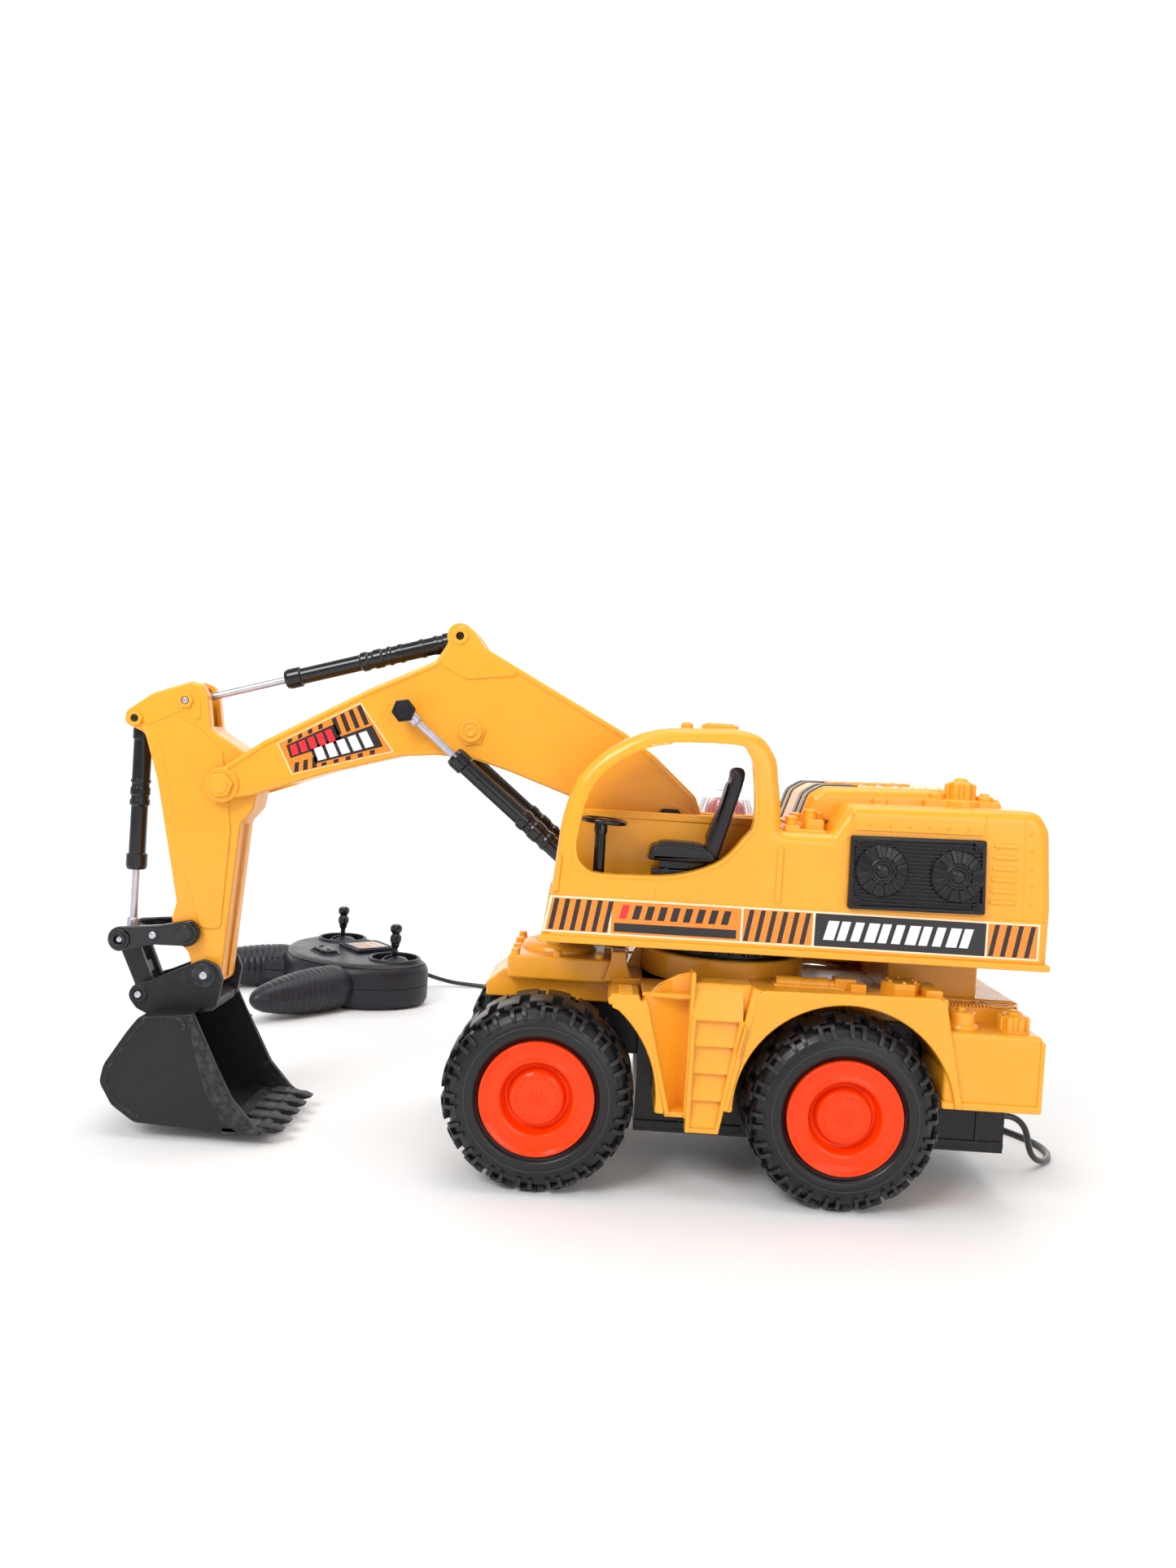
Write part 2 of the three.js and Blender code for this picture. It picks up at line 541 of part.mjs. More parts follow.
// Hydraulic-look cylinder: a hollow barrel hinged at one end and a rod hinged at the other.
function barrel(from, to, y, length, bottom, outerRadius, eyeHalf) {
  const bore = outerRadius - 0.9;
  const band = outerRadius + 0.7;
  const [bandStart, bandEnd] = [length * 0.5, length * 0.56];
  const profile = [
    [0, 5], [outerRadius, 5], [outerRadius, bandStart], [band, bandStart], [band, bandEnd],
    [outerRadius, bandEnd], [outerRadius, length], [bore, length], [bore, bottom], [0, bottom],
  ];
  const eye = discY(from[0], from[1], 5.4, y - eyeHalf, y + eyeHalf, 12);
  const hole = discY(from[0], from[1], 2.6, y - eyeHalf - 1, y + eyeHalf + 1, 10);
  return carve(join(strut(profile, from, to, y), eye), hole);
}

function rod(from, to, y, length, radius, eyeHalf) {
  const shaft = strut([[0, 3], [radius, 3], [radius, length], [0, length]], from, to, y, 10);
  const eye = discY(from[0], from[1], 4.6, y - eyeHalf, y + eyeHalf, 12);
  const hole = discY(from[0], from[1], 2.6, y - eyeHalf - 1, y + eyeHalf + 1, 10);
  return carve(join(shaft, eye), hole);
}

const STICK_OUTLINE = [
  [-262.8, 150], [-257, 158], [-255.5, 172], [-260, 186], [-273, 192.5], [-284.7, 198.3], [-288.5, 216],
  [-292, 221.5], [-298.1, 222.8], [-318.4, 213.8], [-331.7, 202.5], [-332, 195.5], [-320.5, 192], [-318.7, 188],
  [-310.6, 167.4], [-299.1, 126.8], [-292.5, 103], [-294, 93.5], [-291, 83], [-283, 77], [-279.8, 68.5],
  [-277, 61], [-270.5, 58.8], [-263.4, 61.7],
];

function stickHalf(side) {
  const outer = sidePlate(side, STICK_OUTLINE, GAP / 2, STICK_HALF);
  const room = sidePlate(side, inset(STICK_OUTLINE, 2.2), 0, STICK_HALF - 2.4);
  const headOutline = [[-284, 200], [-280, 230], [-345, 230], [-345, 180], [-321, 186], [-316, 196]];
  const head = sidePlate(side, headOutline, 0, 6);
  const boreList = [
    [BOOM_TIP, 2.9], [STICK_ROD_EYE, 2.1], [BUCKET_BARREL_EYE, 2.1], [ROCKER_PIVOT, 2.7], [BUCKET_HINGE, 2.7],
  ];
  const bores = boreList.map(([[x, z], r]) => discY(x, z, r, -40, 40, 10));
  const rim = [[-266, 148], [-266, 90], [-278, 90], [-309, 186], [-311, 192], [-290, 200], [-276, 185]];
  const panel = sidePlate(side, rim, STICK_HALF - 1, STICK_HALF + 1);
  return carve(join(carve(outer, room), panel), head, ...bores);
}

const BUCKET_OUTLINE = [
  [-272, 49.5], [-296, 45.5], [-302, 36], [-311.8, 17.7], [-313.1, 8.1], [-305.3, -3.1], [-292.5, -10.7],
  [-242.2, -9.6], [-224, -7.4], [-229.5, -4], [-243.1, 9.2], [-252.9, 24.8], [-268, 50.5],
];
const BUCKET_ROOM = [
  [-272, 46.6], [-294.6, 42.8], [-299.5, 34.8], [-309, 17.4], [-310.2, 9.2], [-303.6, -1.4], [-292, -8],
  [-242, -6.9], [-222, -4.8], [-200, 5], [-235, 60], [-262, 60],
];
const BUCKET_EAR_OUTLINE = [
  [-262, 52], [-260.5, 66], [-264, 73], [-272, 75.5], [-300, 60], [-308.5, 56], [-309.5, 50],
  [-303, 45], [-296, 41],
];
const TOOTH_OUTLINE = [[-232, -9.2], [-216, -7.2], [-214, -5.6], [-216, -4.6], [-230, -6]];
const TOOTH_PLACES = [-28.5, -14.2, 0, 14.2, 28.5];

function bucket() {
  const shell = plate(BUCKET_OUTLINE, -BUCKET_HALF, BUCKET_HALF);
  const room = plate(BUCKET_ROOM, -BUCKET_HALF + 2.4, BUCKET_HALF - 2.4);
  const ears = [-1, 1].map((side) => sidePlate(side, BUCKET_EAR_OUTLINE, 14.5, 18));
  const teeth = TOOTH_PLACES.map((y) => plate(TOOTH_OUTLINE, y - 3.2, y + 3.2));
  const earHole = discY(...BUCKET_EAR, 2.5, -30, 30, 14);
  const hingePin = discY(...BUCKET_HINGE, 2.2, -19, 19, 14);
  return join(carve(join(carve(shell, room), ...ears, ...teeth), earHole), hingePin);
}

function rocker(side) {
  const [px, pz] = ROCKER_PIVOT;
  const [ex, ez] = ROCKER_END;
  const bar = [
    [px + 1, pz + 6.3], [px - 3, pz + 6], [ex - 1, ez + 6], [ex - 6, ez + 1], [ex - 3, ez - 5.6],
    [ex + 1, ez - 6], [px, pz - 6.3], [px + 6, pz - 1], [px + 5.6, pz + 3],
  ];
  const face = sidePlate(side, bar, STICK_HALF + 1 + GAP, STICK_HALF + 5);
  const capInner = STICK_HALF + 1;
  const capOuter = STICK_HALF + 6.4;
  const ys = side > 0 ? [capInner, capOuter] : [-capOuter, -capInner];
  const endCap = discY(ex, ez, 5.6, ...ys, 16);
  return carve(join(face, endCap), discY(px, pz, 2.6, -30, 30, 14), discY(ex, ez, 2.4, -30, 30, 14));
}

function bucketLink() {
  const [ax, az] = ROCKER_END;
  const [bx, bz] = BUCKET_EAR;
  const strap = [
    [ax + 5, az + 1], [ax, az + 5], [ax - 5, az],
    [bx - 6.2, bz + 3], [bx - 4, bz - 4.5], [bx + 3, bz - 3.5], [bx + 5.5, bz + 1],
  ];
  const straps = [-1, 1].map((side) => sidePlate(side, strap, 5.2, 8.6));
  const web = plate([[-314.5, 65], [-308, 67], [-305, 60.5], [-311, 58.5]], -6, 6);
  const openEnd = discY(bx, bz, 3.6, -20, 20, 16);
  return carve(join(...straps, web), openEnd, discY(ax, az, 2.4, -20, 20, 14));
}

function armPieces() {
  piece('boom_shell_near', boomHalf(-1), YELLOW, lowArm);
  piece('boom_shell_far', boomHalf(1), YELLOW, lowArm);
  piece('boom_cylinder_pin', hexPin(BOOM_ROD_EYE, 2.2, 30, 6.2), BLACK, lowArm);
  piece('stick_pin', hexPin(BOOM_TIP, 2.6, BOOM_HALF + GAP, 7), YELLOW, lowArm);
  const rodEye = raised(BOOM_ROD_EYE);
  for (const [word, side] of [['near', -1], ['far', 1]]) {
    piece(`boom_cylinder_${word}`, barrel(BOOM_BARREL_EYE, rodEye, side * 26, 113, 66, 4.9, 3.2), BLACK);
    piece(`boom_rod_${word}`, rod(rodEye, BOOM_BARREL_EYE, side * 26, 70, 2, 3), STEEL);
  }
  piece('stick_shell_near', stickHalf(-1), YELLOW, lowArm);
  piece('stick_shell_far', stickHalf(1), YELLOW, lowArm);
  const smallPin = (point, reach) => discY(...point, 1.8, -reach, reach, 12);
  const plug = (point, reach) => discY(...point, 3, -reach, reach, 12);
  const stickBarrel = barrel(STICK_BARREL_EYE, STICK_ROD_EYE, 0, 100, 42, 4.9, 5);
  const stickBarrelPin = join(smallPin(STICK_BARREL_EYE, BOOM_HALF - 1), plug(STICK_BARREL_EYE, 4));
  piece('stick_cylinder', join(stickBarrel, stickBarrelPin), BLACK, lowArm);
  const stickRod = rod(STICK_ROD_EYE, STICK_BARREL_EYE, 0, 74, 2, 4);
  const stickRodPin = join(smallPin(STICK_ROD_EYE, STICK_HALF + 2), plug(STICK_ROD_EYE, 3));
  piece('stick_rod', join(stickRod, stickRodPin), STEEL, lowArm);
  const bucketBarrel = barrel(BUCKET_BARREL_EYE, ROCKER_END, 0, 83, 28, 4.9, 4.5);
  const bucketBarrelPin = join(smallPin(BUCKET_BARREL_EYE, STICK_HALF + 2), plug(BUCKET_BARREL_EYE, 3));
  piece('bucket_cylinder', join(bucketBarrel, bucketBarrelPin), BLACK, lowArm);
  const bucketRod = rod(ROCKER_END, BUCKET_BARREL_EYE, 0, 64, 2, 4.4);
  const bucketRodPin = join(smallPin(ROCKER_END, 18), plug(ROCKER_END, 3));
  piece('bucket_rod', join(bucketRod, bucketRodPin), STEEL, lowArm);
  const pivotShaft = discY(...ROCKER_PIVOT, 2.3, -19.5, 19.5, 14);
  const pivotPin = join(pivotShaft, discY(...ROCKER_PIVOT, 5, -19.5, -16, 14));
  piece('rocker_near', join(rocker(-1), pivotPin), BLACK, lowArm);
  piece('rocker_far', rocker(1), BLACK, lowArm);
  piece('bucket_link', bucketLink(), BLACK, lowArm);
  piece('bucket', bucket(), MATT_BLACK, lowArm);
}

// ---- handset ------------------------------------------------------------
const handset = new THREE.Group();
handset.position.set(HANDSET.x, HANDSET.y, 0);
handset.rotation.z = HANDSET.turn;
model.add(handset);

const WELL_X = 47.5;
// Right half of the body's outline, from the cord side round to the side between the grips.
const BODY_HALF = [
  [0, 25], [25, 26.5], [47.5, 27.5], [66, 20.5], [74.5, 2], [72, -20], [60, -42], [38, -58], [15, -66],
];

function handsetOutline(shrink) {
  const right = BODY_HALF.map(([x, y]) => new THREE.Vector3(x, y, 0));
  const left = BODY_HALF.slice(1).reverse().map(([x, y]) => new THREE.Vector3(-x, y, 0));
  const curve = new THREE.CatmullRomCurve3([...right, new THREE.Vector3(0, -68, 0), ...left], true);
  const clockwise = curve.getSpacedPoints(26).slice(0, 26).map(({ x, y }) => [x, y]);
  return inset(clockwise.reverse(), shrink);
}

function handsetBlock(shrink) {
  const { height } = HANDSET;
  const bevel = 6 - shrink;
  const bevelSegments = shrink > 0 ? 1 : 2;
  const shape = outlineShape(handsetOutline(shrink + bevel));
  const depth = height - 2 * shrink - 2 * bevel;
  const options = { depth, bevelThickness: bevel, bevelSize: bevel, bevelSegments };
  const geometry = new THREE.ExtrudeGeometry(shape, options);
  geometry.translate(0, 0, shrink + bevel);
  return solid(geometry);
}

function grip(side, shrink) {
  const profile = [
    [0, -6 + shrink], [17 - shrink, 4], [17.5 - shrink, 30], [14 - shrink, 62],
    [7 - shrink, 84 - shrink / 2], [0, 88 - shrink],
  ];
  const geometry = new THREE.LatheGeometry(profile.map(([r, t]) => new THREE.Vector2(r, t)), 12);
  geometry.rotateZ(Math.PI + side * 0.24);
  geometry.translate(side * 44, -42, 17.5);
  return solid(geometry);
}

function handsetBody(shrink) {
  return join(handsetBlock(shrink), grip(-1, shrink), grip(1, shrink));
}

function handsetPieces() {
  const { height, split } = HANDSET;
  const far = 200;
  const shell = carve(handsetBody(0), handsetBody(2.4));
  const above = box(-far, far, -far, far, split + GAP / 2, far);
  const below = box(-far, far, -far, far, -far, split - GAP / 2);
  const rings = [-1, 1].map((side) => discZ(side * WELL_X, 0, 21, height - 3, height + 1.6, 22));
  const wells = [-1, 1].map((side) => discZ(side * WELL_X, 0, 18.4, height - 9, height + 9, 22));
  const button = box(-14.5, 14.5, -46.5, -31.5, height - 9, height + 9);
  const cordHole = box(12.6, 17.4, 18, 40, split - 2.4, split + 2.4);
  const emblem = box(-18, 18, -18, 18, height - 1, height + 3);
  const topShell = carve(join(shell.intersect(above), ...rings, emblem), ...wells, button, cordHole);
  piece('handset_top_shell', topShell, BLACK, handset);
  const doorRoom = box(-31, 31, -46, -4, -2, 3);
  piece('handset_bottom_shell', carve(shell.intersect(below), doorRoom, cordHole), BLACK, handset);
  piece('battery_door', box(-30.6, 30.6, -45.6, -4.4, 0.3, 2.4), BLACK, handset);
  piece('circuit_board', box(-50, 50, -54, 14, 8, 9.6), GREEN, handset);
  for (const [word, side] of [['left', -1], ['right', 1]]) {
    const x = side * WELL_X;
    const dome = [
      [0, height - 11], [14.5, height - 11], [14, height - 6], [10.5, height - 0.5], [5, height + 2.4],
      [0, height + 3],
    ];
    const slot = box(x - 2.8, x + 2.8, -9, 9, height - 14, height + 9);
    piece(`gimbal_${word}`, carve(turnedZ(dome, x, 0, 24), slot), BLACK, handset);
    const stem = [
      [0, height - 10], [2.1, height - 10], [2.1, height + 12], [4.2, height + 15], [4.2, height + 22],
      [5, height + 24], [4.4, height + 27.5], [0, height + 28.5],
    ];
    piece(`control_stick_${word}`, turnedZ(stem, x, 0, 14), BLACK, handset);
  }
  const rockerCap = join(box(-13, 13, -45.2, -32.8, height - 6, height + 2.4),
    box(-12, 12, -44.4, -33.6, height + 2, height + 4));
  piece('rocker_button', rockerCap, BLACK, handset);
}

// ---- cord ---------------------------------------------------------------
// Route points [x, y, z] chosen by hand; the cord lies on the floor at its own radius.
const CORD_START = [
  [158.8, 0, 30.5], [163.5, 0, 30.3], [168, 0.2, 28.4], [171.6, 0.6, 24.6], [173.8, 1.2, 19.5],
  [175.4, 2.2, 14], [178, 4, 8.8], [182.4, 7.4, 4.8], [188, 12.6, 2.5], [193.5, 20, 1.9],
  [196.5, 30, 1.9], [195.5, 42, 1.9], [190, 55, 1.9], [180.5, 68, 1.9], [168, 80, 1.9],
  [152, 90, 1.9], [134, 99, 1.9], [115, 104, 1.9], [96, 105, 1.9],
];
const CORD_END = [
  [44, 151, 1.9], [34, 160, 1.9], [18, 175, 1.9], [-2, 197, 1.9], [-24, 226, 1.9],
  [-48, 260, 1.9], [-74, 295, 1.9], [-102, 327, 1.9], [-132, 352, 1.9], [-162, 366, 1.9],
  [-190, 367.5, 3.4], [-206, 361, 8], [-216, 353.5, 13], [-222.5, 348.2, 16], [-226.5, 344.9, 17],
];

function cordTube(name, points, steps) {
  const path = new THREE.CatmullRomCurve3(points.map((point) => new THREE.Vector3(...point)));
  const ring = arc(0, 0, CORD.radius, 0, 360, CORD.sides).slice(0, CORD.sides);
  const options = { steps, extrudePath: path, bevelEnabled: false };
  const geometry = new THREE.ExtrudeGeometry(outlineShape(ring), options);
  piece(name, solid(geometry), BLACK);
}

function cord() {
  cordTube('cord_from_chassis', CORD_START, 30);
  cordTube('cord_to_handset', CORD_END, 38);
  const { coil, coilInner, coilOuter, coilHeight } = CORD;
  const lowest = 0.05;
  const ring = [
    [coilInner, lowest], [coilOuter, lowest], [coilOuter, coilHeight], [coilInner, coilHeight],
    [coilInner, lowest],
  ];
  piece('cord_coil', turnedZ(ring, ...coil, 24), BLACK);
}

wheelPair('front', WHEEL.frontX);
wheelPair('rear', WHEEL.rearX);
driveTrain();
chassis();
house();
armPieces();
handsetPieces();
cord();
model.position.set(-ORIGIN[0], -ORIGIN[1], 0);

export default model;
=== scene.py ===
import json
import math

import bmesh
import bpy
from mathutils import Matrix, Vector
from mathutils.geometry import tessellate_polygon


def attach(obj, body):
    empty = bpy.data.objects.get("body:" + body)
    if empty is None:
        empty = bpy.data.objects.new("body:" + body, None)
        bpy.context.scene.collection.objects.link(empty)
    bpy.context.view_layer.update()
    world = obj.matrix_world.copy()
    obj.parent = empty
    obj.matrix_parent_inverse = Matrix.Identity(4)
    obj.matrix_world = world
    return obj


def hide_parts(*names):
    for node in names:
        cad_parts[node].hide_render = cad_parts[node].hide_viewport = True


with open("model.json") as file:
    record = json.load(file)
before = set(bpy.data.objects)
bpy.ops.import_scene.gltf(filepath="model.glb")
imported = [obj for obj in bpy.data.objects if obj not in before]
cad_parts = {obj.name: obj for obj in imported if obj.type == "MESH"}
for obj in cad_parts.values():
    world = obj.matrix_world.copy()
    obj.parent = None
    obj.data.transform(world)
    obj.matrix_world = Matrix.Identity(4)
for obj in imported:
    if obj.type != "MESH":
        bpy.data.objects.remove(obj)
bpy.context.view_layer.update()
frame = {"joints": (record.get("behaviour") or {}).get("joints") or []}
JOINTS = {j["name"]: j for j in frame["joints"]}
MM = 0.001
TURN = 2 * math.pi
SIDES = (("near", -1), ("far", 1))

# ---- places: shapes are drawn in millimetres around the swing axis -------------
SWING_AXIS = Vector(JOINTS["swing"]["pos_m"])
FOOT = [-34.0, 180.0]
ARM_RAISE = math.radians(4.2)
HOUSE = Matrix.Translation((SWING_AXIS.x, SWING_AXIS.y, 0)) @ Matrix.Scale(MM, 4)
ARM = (HOUSE @ Matrix.Translation((FOOT[0], 0, FOOT[1])) @ Matrix.Rotation(ARM_RAISE, 4, "Y")
       @ Matrix.Translation((-FOOT[0], 0, -FOOT[1])))
HANDSET_TURN = math.radians(-50.8)
HANDSET = HOUSE @ Matrix.Translation((-262, 332, 0)) @ Matrix.Rotation(HANDSET_TURN, 4, "Z")

# Arm pivots as [x, z] with the arm in its low position.
BOOM_TIP = [-273.6, 169.8]
BOOM_ROD_EYE = [-179.4, 221.9]
STICK_BARREL_EYE = [-157, 265]
STICK_ROD_EYE = [-300, 212]
BUCKET_BARREL_EYE = [-326, 199]
ROCKER_PIVOT = [-283.5, 88]
ROCKER_END = [-318.5, 80]
BUCKET_HINGE = [-270.5, 67]
BUCKET_EAR = [-304.5, 52]
WHEELS = {"front": -93.5, "rear": 56.0}
WHEEL_Z = 47.5


# ---- outlines --------------------------------------------------------------------
def area(points):
    return sum(a[0] * b[1] - b[0] * a[1] for a, b in zip(points, points[1:] + points[:1])) / 2


def inset(points, distance):
    """Outline moved inward (counter-clockwise points); sides that would turn over are closed up."""
    moved = []
    for i, point in enumerate(points):
        before, after = points[i - 1], points[(i + 1) % len(points)]
        a = Vector((point[0] - before[0], point[1] - before[1])).normalized()
        b = Vector((after[0] - point[0], after[1] - point[1])).normalized()
        normal = Vector((-a.y - b.y, a.x + b.x))
        normal = normal.normalized() if normal.length > 1e-6 else Vector((-a.y, a.x))
        stretch = distance / max(0.5, normal.dot(Vector((-a.y, a.x))))
        moved.append([point[0] + normal.x * stretch, point[1] + normal.y * stretch])
    for _ in range(4):
        for i, point in enumerate(points):
            j = (i + 1) % len(points)
            side = (points[j][0] - point[0], points[j][1] - point[1])
            now = (moved[j][0] - moved[i][0], moved[j][1] - moved[i][1])
            if side[0] * now[0] + side[1] * now[1] < 0:
                middle = [(moved[i][0] + moved[j][0]) / 2, (moved[i][1] + moved[j][1]) / 2]
                moved[i], moved[j] = middle, list(middle)
    return moved


def rounded(points, radius, steps=4):
    """Outline with its corners rounded; radius is one number or one for each corner."""
    radii = radius if hasattr(radius, "__len__") else [radius] * len(points)
    out = []
    for i, point in enumerate(points):
        here = Vector(point)
        before, after = Vector(points[i - 1]), Vector(points[(i + 1) % len(points)])
        a, b = before - here, after - here
        if a.length < 1e-6 or b.length < 1e-6:
            continue
        turn = math.pi - a.angle(b)
        if turn < math.radians(4) or radii[i] <= 0:
            out.append(list(here))
            continue
        a.normalize()
        b.normalize()
        tangent = math.tan(turn / 2)
        reach = min(radii[i] * tangent, 0.48 * (before - here).length, 0.48 * (after - here).length)
        real = reach / tangent
        middle = here + (a + b).normalized() * (real / math.cos(turn / 2))
        start = here + a * reach - middle
        hand = 1 if a.x * b.y - a.y * b.x < 0 else -1
        count = max(1, round(steps * min(1, turn / 1.2)))
        for k in range(count + 1):
            angle = hand * turn * k / count
            c, s = math.cos(angle), math.sin(angle)
            out.append([middle.x + start.x * c - start.y * s, middle.y + start.x * s + start.y * c])
    return out


def ribbon(points, width):
    """Outline of a band of this width along an open line."""
    left, right = [], []
    for i, point in enumerate(points):
        before, after = points[max(0, i - 1)], points[min(len(points) - 1, i + 1)]
        way = Vector((after[0] - before[0], after[1] - before[1])).normalized()
        left.append([point[0] - way.y * width / 2, point[1] + way.x * width / 2])
        right.append([point[0] + way.y * width / 2, point[1] - way.x * width / 2])
    return right + left[::-1]


def arc(cx, cz, radius, start, end, steps):
    angles = [math.radians(start + (end - start) * i / steps) for i in range(steps + 1)]
    return [[cx + radius * math.cos(a), cz + radius * math.sin(a)] for a in angles]


def circle(cx, cz, radius, steps=32):
    return arc(cx, cz, radius, 0, 360, steps)[:-1]


def rectangle(x0, x1, z0, z1, radius=0.8, steps=3):
    return rounded([[x0, z0], [x1, z0], [x1, z1], [x0, z1]], radius, steps)


def spline_point(p, t):
    """Point at t between p[1] and p[2] on the smooth curve through the four points."""
    return 0.5 * ((2 * p[1]) + (p[2] - p[0]) * t + (2 * p[0] - 5 * p[1] + 4 * p[2] - p[3]) * t * t
                  + (3 * p[1] - p[0] - 3 * p[2] + p[3]) * t ** 3)


def smooth_loop(points, per=4):
    """Closed curve through the points."""
    n, out = len(points), []
    for i in range(n):
        p = [Vector(points[(i + k - 1) % n]) for k in range(4)]
        out += [list(spline_point(p, k / per)) for k in range(per)]
    return out


AXES = {"X": lambda a, b, t: (t, a, b), "Y": lambda a, b, t: (a, t, b), "Z": lambda a, b, t: (a, b, t)}


# ---- solids ------------------------------------------------------------------------
class Solid:
    """Closed shapes collected into one mesh."""

    def __init__(self):
        self.verts, self.faces = [], []

    def add(self, verts, faces):
        base = len(self.verts)
        self.verts += [tuple(v) for v in verts]
        self.faces += [[base + i for i in face] for face in faces]
        return self

    def plate(self, outline, t0, t1, fillet=0.5, axis="Y", holes=(), steps=2, fillets=None):
        """An outline given thickness, its edges rounded. fillets is (at t0, at t1)."""
        put = AXES[axis]
        r0, r1 = fillets or (fillet, fillet)
        levels = []
        for k in range(steps + 1):
            angle = math.pi / 2 * k / steps
            levels.append((r0 * (1 - math.sin(angle)), t0 + r0 * (1 - math.cos(angle))))
        for k in range(steps + 1):
            angle = math.pi / 2 * k / steps
            levels.append((r1 * (1 - math.cos(angle)), t1 - r1 * (1 - math.sin(angle))))
        if r0 <= 0:
            levels = [(0, t0)] + levels[steps + 1:]
        if r1 <= 0:
            levels = levels[:-(steps + 1)] + [(0, t1)]
        loops = [outline if area(outline) > 0 else outline[::-1]]
        loops += [hole if area(hole) < 0 else hole[::-1] for hole in holes]
        verts, faces, first, last = [], [], [], []
        for loop in loops:
            rings = []
            for shrink, t in levels:
                ring = inset(loop, shrink)
                rings.append(range(len(verts), len(verts) + len(ring)))
                verts += [put(a, b, t) for a, b in ring]
            n = len(loop)
            for lower, upper in zip(rings, rings[1:]):
                faces += [[lower[i], lower[(i + 1) % n], upper[(i + 1) % n], upper[i]] for i in range(n)]
            first.append(list(rings[0]))
            last.append(list(rings[-1]))
        for group, flip in ((first, True), (last, False)):
            if len(group) == 1:
                faces.append(group[0][::-1] if flip else group[0])
                continue
            flat = [i for ids in group for i in ids]
            source = [inset(loop, levels[0 if flip else -1][0]) for loop in loops]
            cap = [[Vector((a, b, 0)) for a, b in loop] for loop in source]
            faces += [[flat[i] for i in tri] for tri in tessellate_polygon(cap)]
        return self.add(verts, faces)

    def box(self, x0, x1, y0, y1, z0, z1, fillet=0.6):
        r = min(fillet, 0.45 * min(x1 - x0, y1 - y0, z1 - z0))
        return self.plate(rectangle(x0, x1, z0, z1, r * 1.2), y0, y1, r)

    def box_row(self, count, step, x0, x1, y0, y1, z0, z1, fillet=0.6):
        """Equal boxes, each moved on by step = (x, y, z)."""
        dx, dy, dz = step
        for k in range(count):
            self.box(x0 + dx * k, x1 + dx * k, y0 + dy * k, y1 + dy * k, z0 + dz * k, z1 + dz * k, fillet)
        return self

    def lathe(self, profile, matrix, segments=48):
        """Round solid about the matrix's Z, from [radius, height] pairs."""
        verts, faces, rings = [], [], []
        for r, h in profile:
            if r < 1e-6:
                rings.append([len(verts)])
                verts.append(matrix @ Vector((0, 0, h)))
            else:
                rings.append(list(range(len(verts), len(verts) + segments)))
                verts += [matrix @ Vector((r * math.cos(TURN * k / segments),
                                           r * math.sin(TURN * k / segments), h)) for k in range(segments)]
        pairs = list(zip(rings, rings[1:]))
        if profile[0][0] > 1e-6 and profile[-1][0] > 1e-6:
            pairs.append((rings[-1], rings[0]))
        for a, b in pairs:
            if len(a) == 1 and len(b) == 1:
                continue
            for k in range(segments):
                j = (k + 1) % segments
                if len(a) == 1:
                    faces.append([a[0], b[k], b[j]])
                elif len(b) == 1:
                    faces.append([a[k], a[j], b[0]])
                else:
                    faces.append([a[k], a[j], b[j], b[k]])
        return self.add(verts, faces)

    def disc(self, cx, cz, radius, y0, y1, fillet=0.5, axis="Y", steps=32):
        return self.plate(circle(cx, cz, radius, steps), min(y0, y1), max(y0, y1), fillet, axis)

    def join(self, other):
        return self.add(other.verts, other.faces)

    def around(self, shape, count, frame_at, shift=0):
        """Copies of a shape at equal steps about the frame's Z."""
        for k in range(count):
            self.join(shape.copied().moved(frame_at @ spin(k + shift, count)))
        return self

    def copied(self):
        return Solid().join(self)

    def moved(self, matrix):
        self.verts = [tuple(matrix @ Vector(v)) for v in self.verts]
        return self

    def mirrored(self):
        other = Solid()
        other.verts = [(x, -y, z) for x, y, z in self.verts]
        other.faces = [face[::-1] for face in self.faces]
        return other

    def both(self):
        return self.join(self.mirrored())


def upright(x, y, z=0):
    return Matrix.Translation((x, y, z))


def spin(k, count):
    """Turn about Z by k of count equal steps."""
    return Matrix.Rotation(TURN * k / count, 4, "Z")


def about_y(x, z, y=0.0, side=1):
    """Frame whose Z runs along +Y (or -Y for side -1) at [x, z]."""
    return Matrix.Translation((x, y, z)) @ Matrix.Rotation(-side * math.pi / 2, 4, "X")


def along(start, end, y):
    """Frame at start whose Z points to end, in the plane of the arm."""
    direction = Vector((end[0] - start[0], 0, end[1] - start[1])).normalized()
    across = Vector((0, 1, 0))
    left = across.cross(direction)
    rows = Matrix((left, across, direction)).transposed().to_4x4()
    return Matrix.Translation((start[0], y, start[1])) @ rows


def soften(profile, radius=0.5, steps=3):
    """Profile with its inner corners rounded, ends kept."""
    closed = profile[0][0] > 1e-6 and profile[-1][0] > 1e-6
    if closed:
        return rounded(profile, radius, steps)
    radii = [0] + [radius] * (len(profile) - 2) + [0]
    return rounded(profile, radii, steps)


WELD, WELD_FOR_CUTS = 2e-6, 6e-5


def tidy(mesh, sharp=50, split=False):
    """Weld, turn the faces outward and shade smooth; split also readies the mesh for an exact cut."""
    b = bmesh.new()
    b.from_mesh(mesh)
    bmesh.ops.remove_doubles(b, verts=b.verts, dist=WELD_FOR_CUTS if split else WELD)
    if split:
        bmesh.ops.triangulate(b, faces=[face for face in b.faces if len(face.verts) > 4])
    bmesh.ops.dissolve_degenerate(b, edges=b.edges, dist=WELD)
    bmesh.ops.recalc_face_normals(b, faces=b.faces)
    b.to_mesh(mesh)
    b.free()
    for polygon in mesh.polygons:
        polygon.use_smooth = True
    mesh.set_sharp_from_angle(angle=math.radians(sharp))


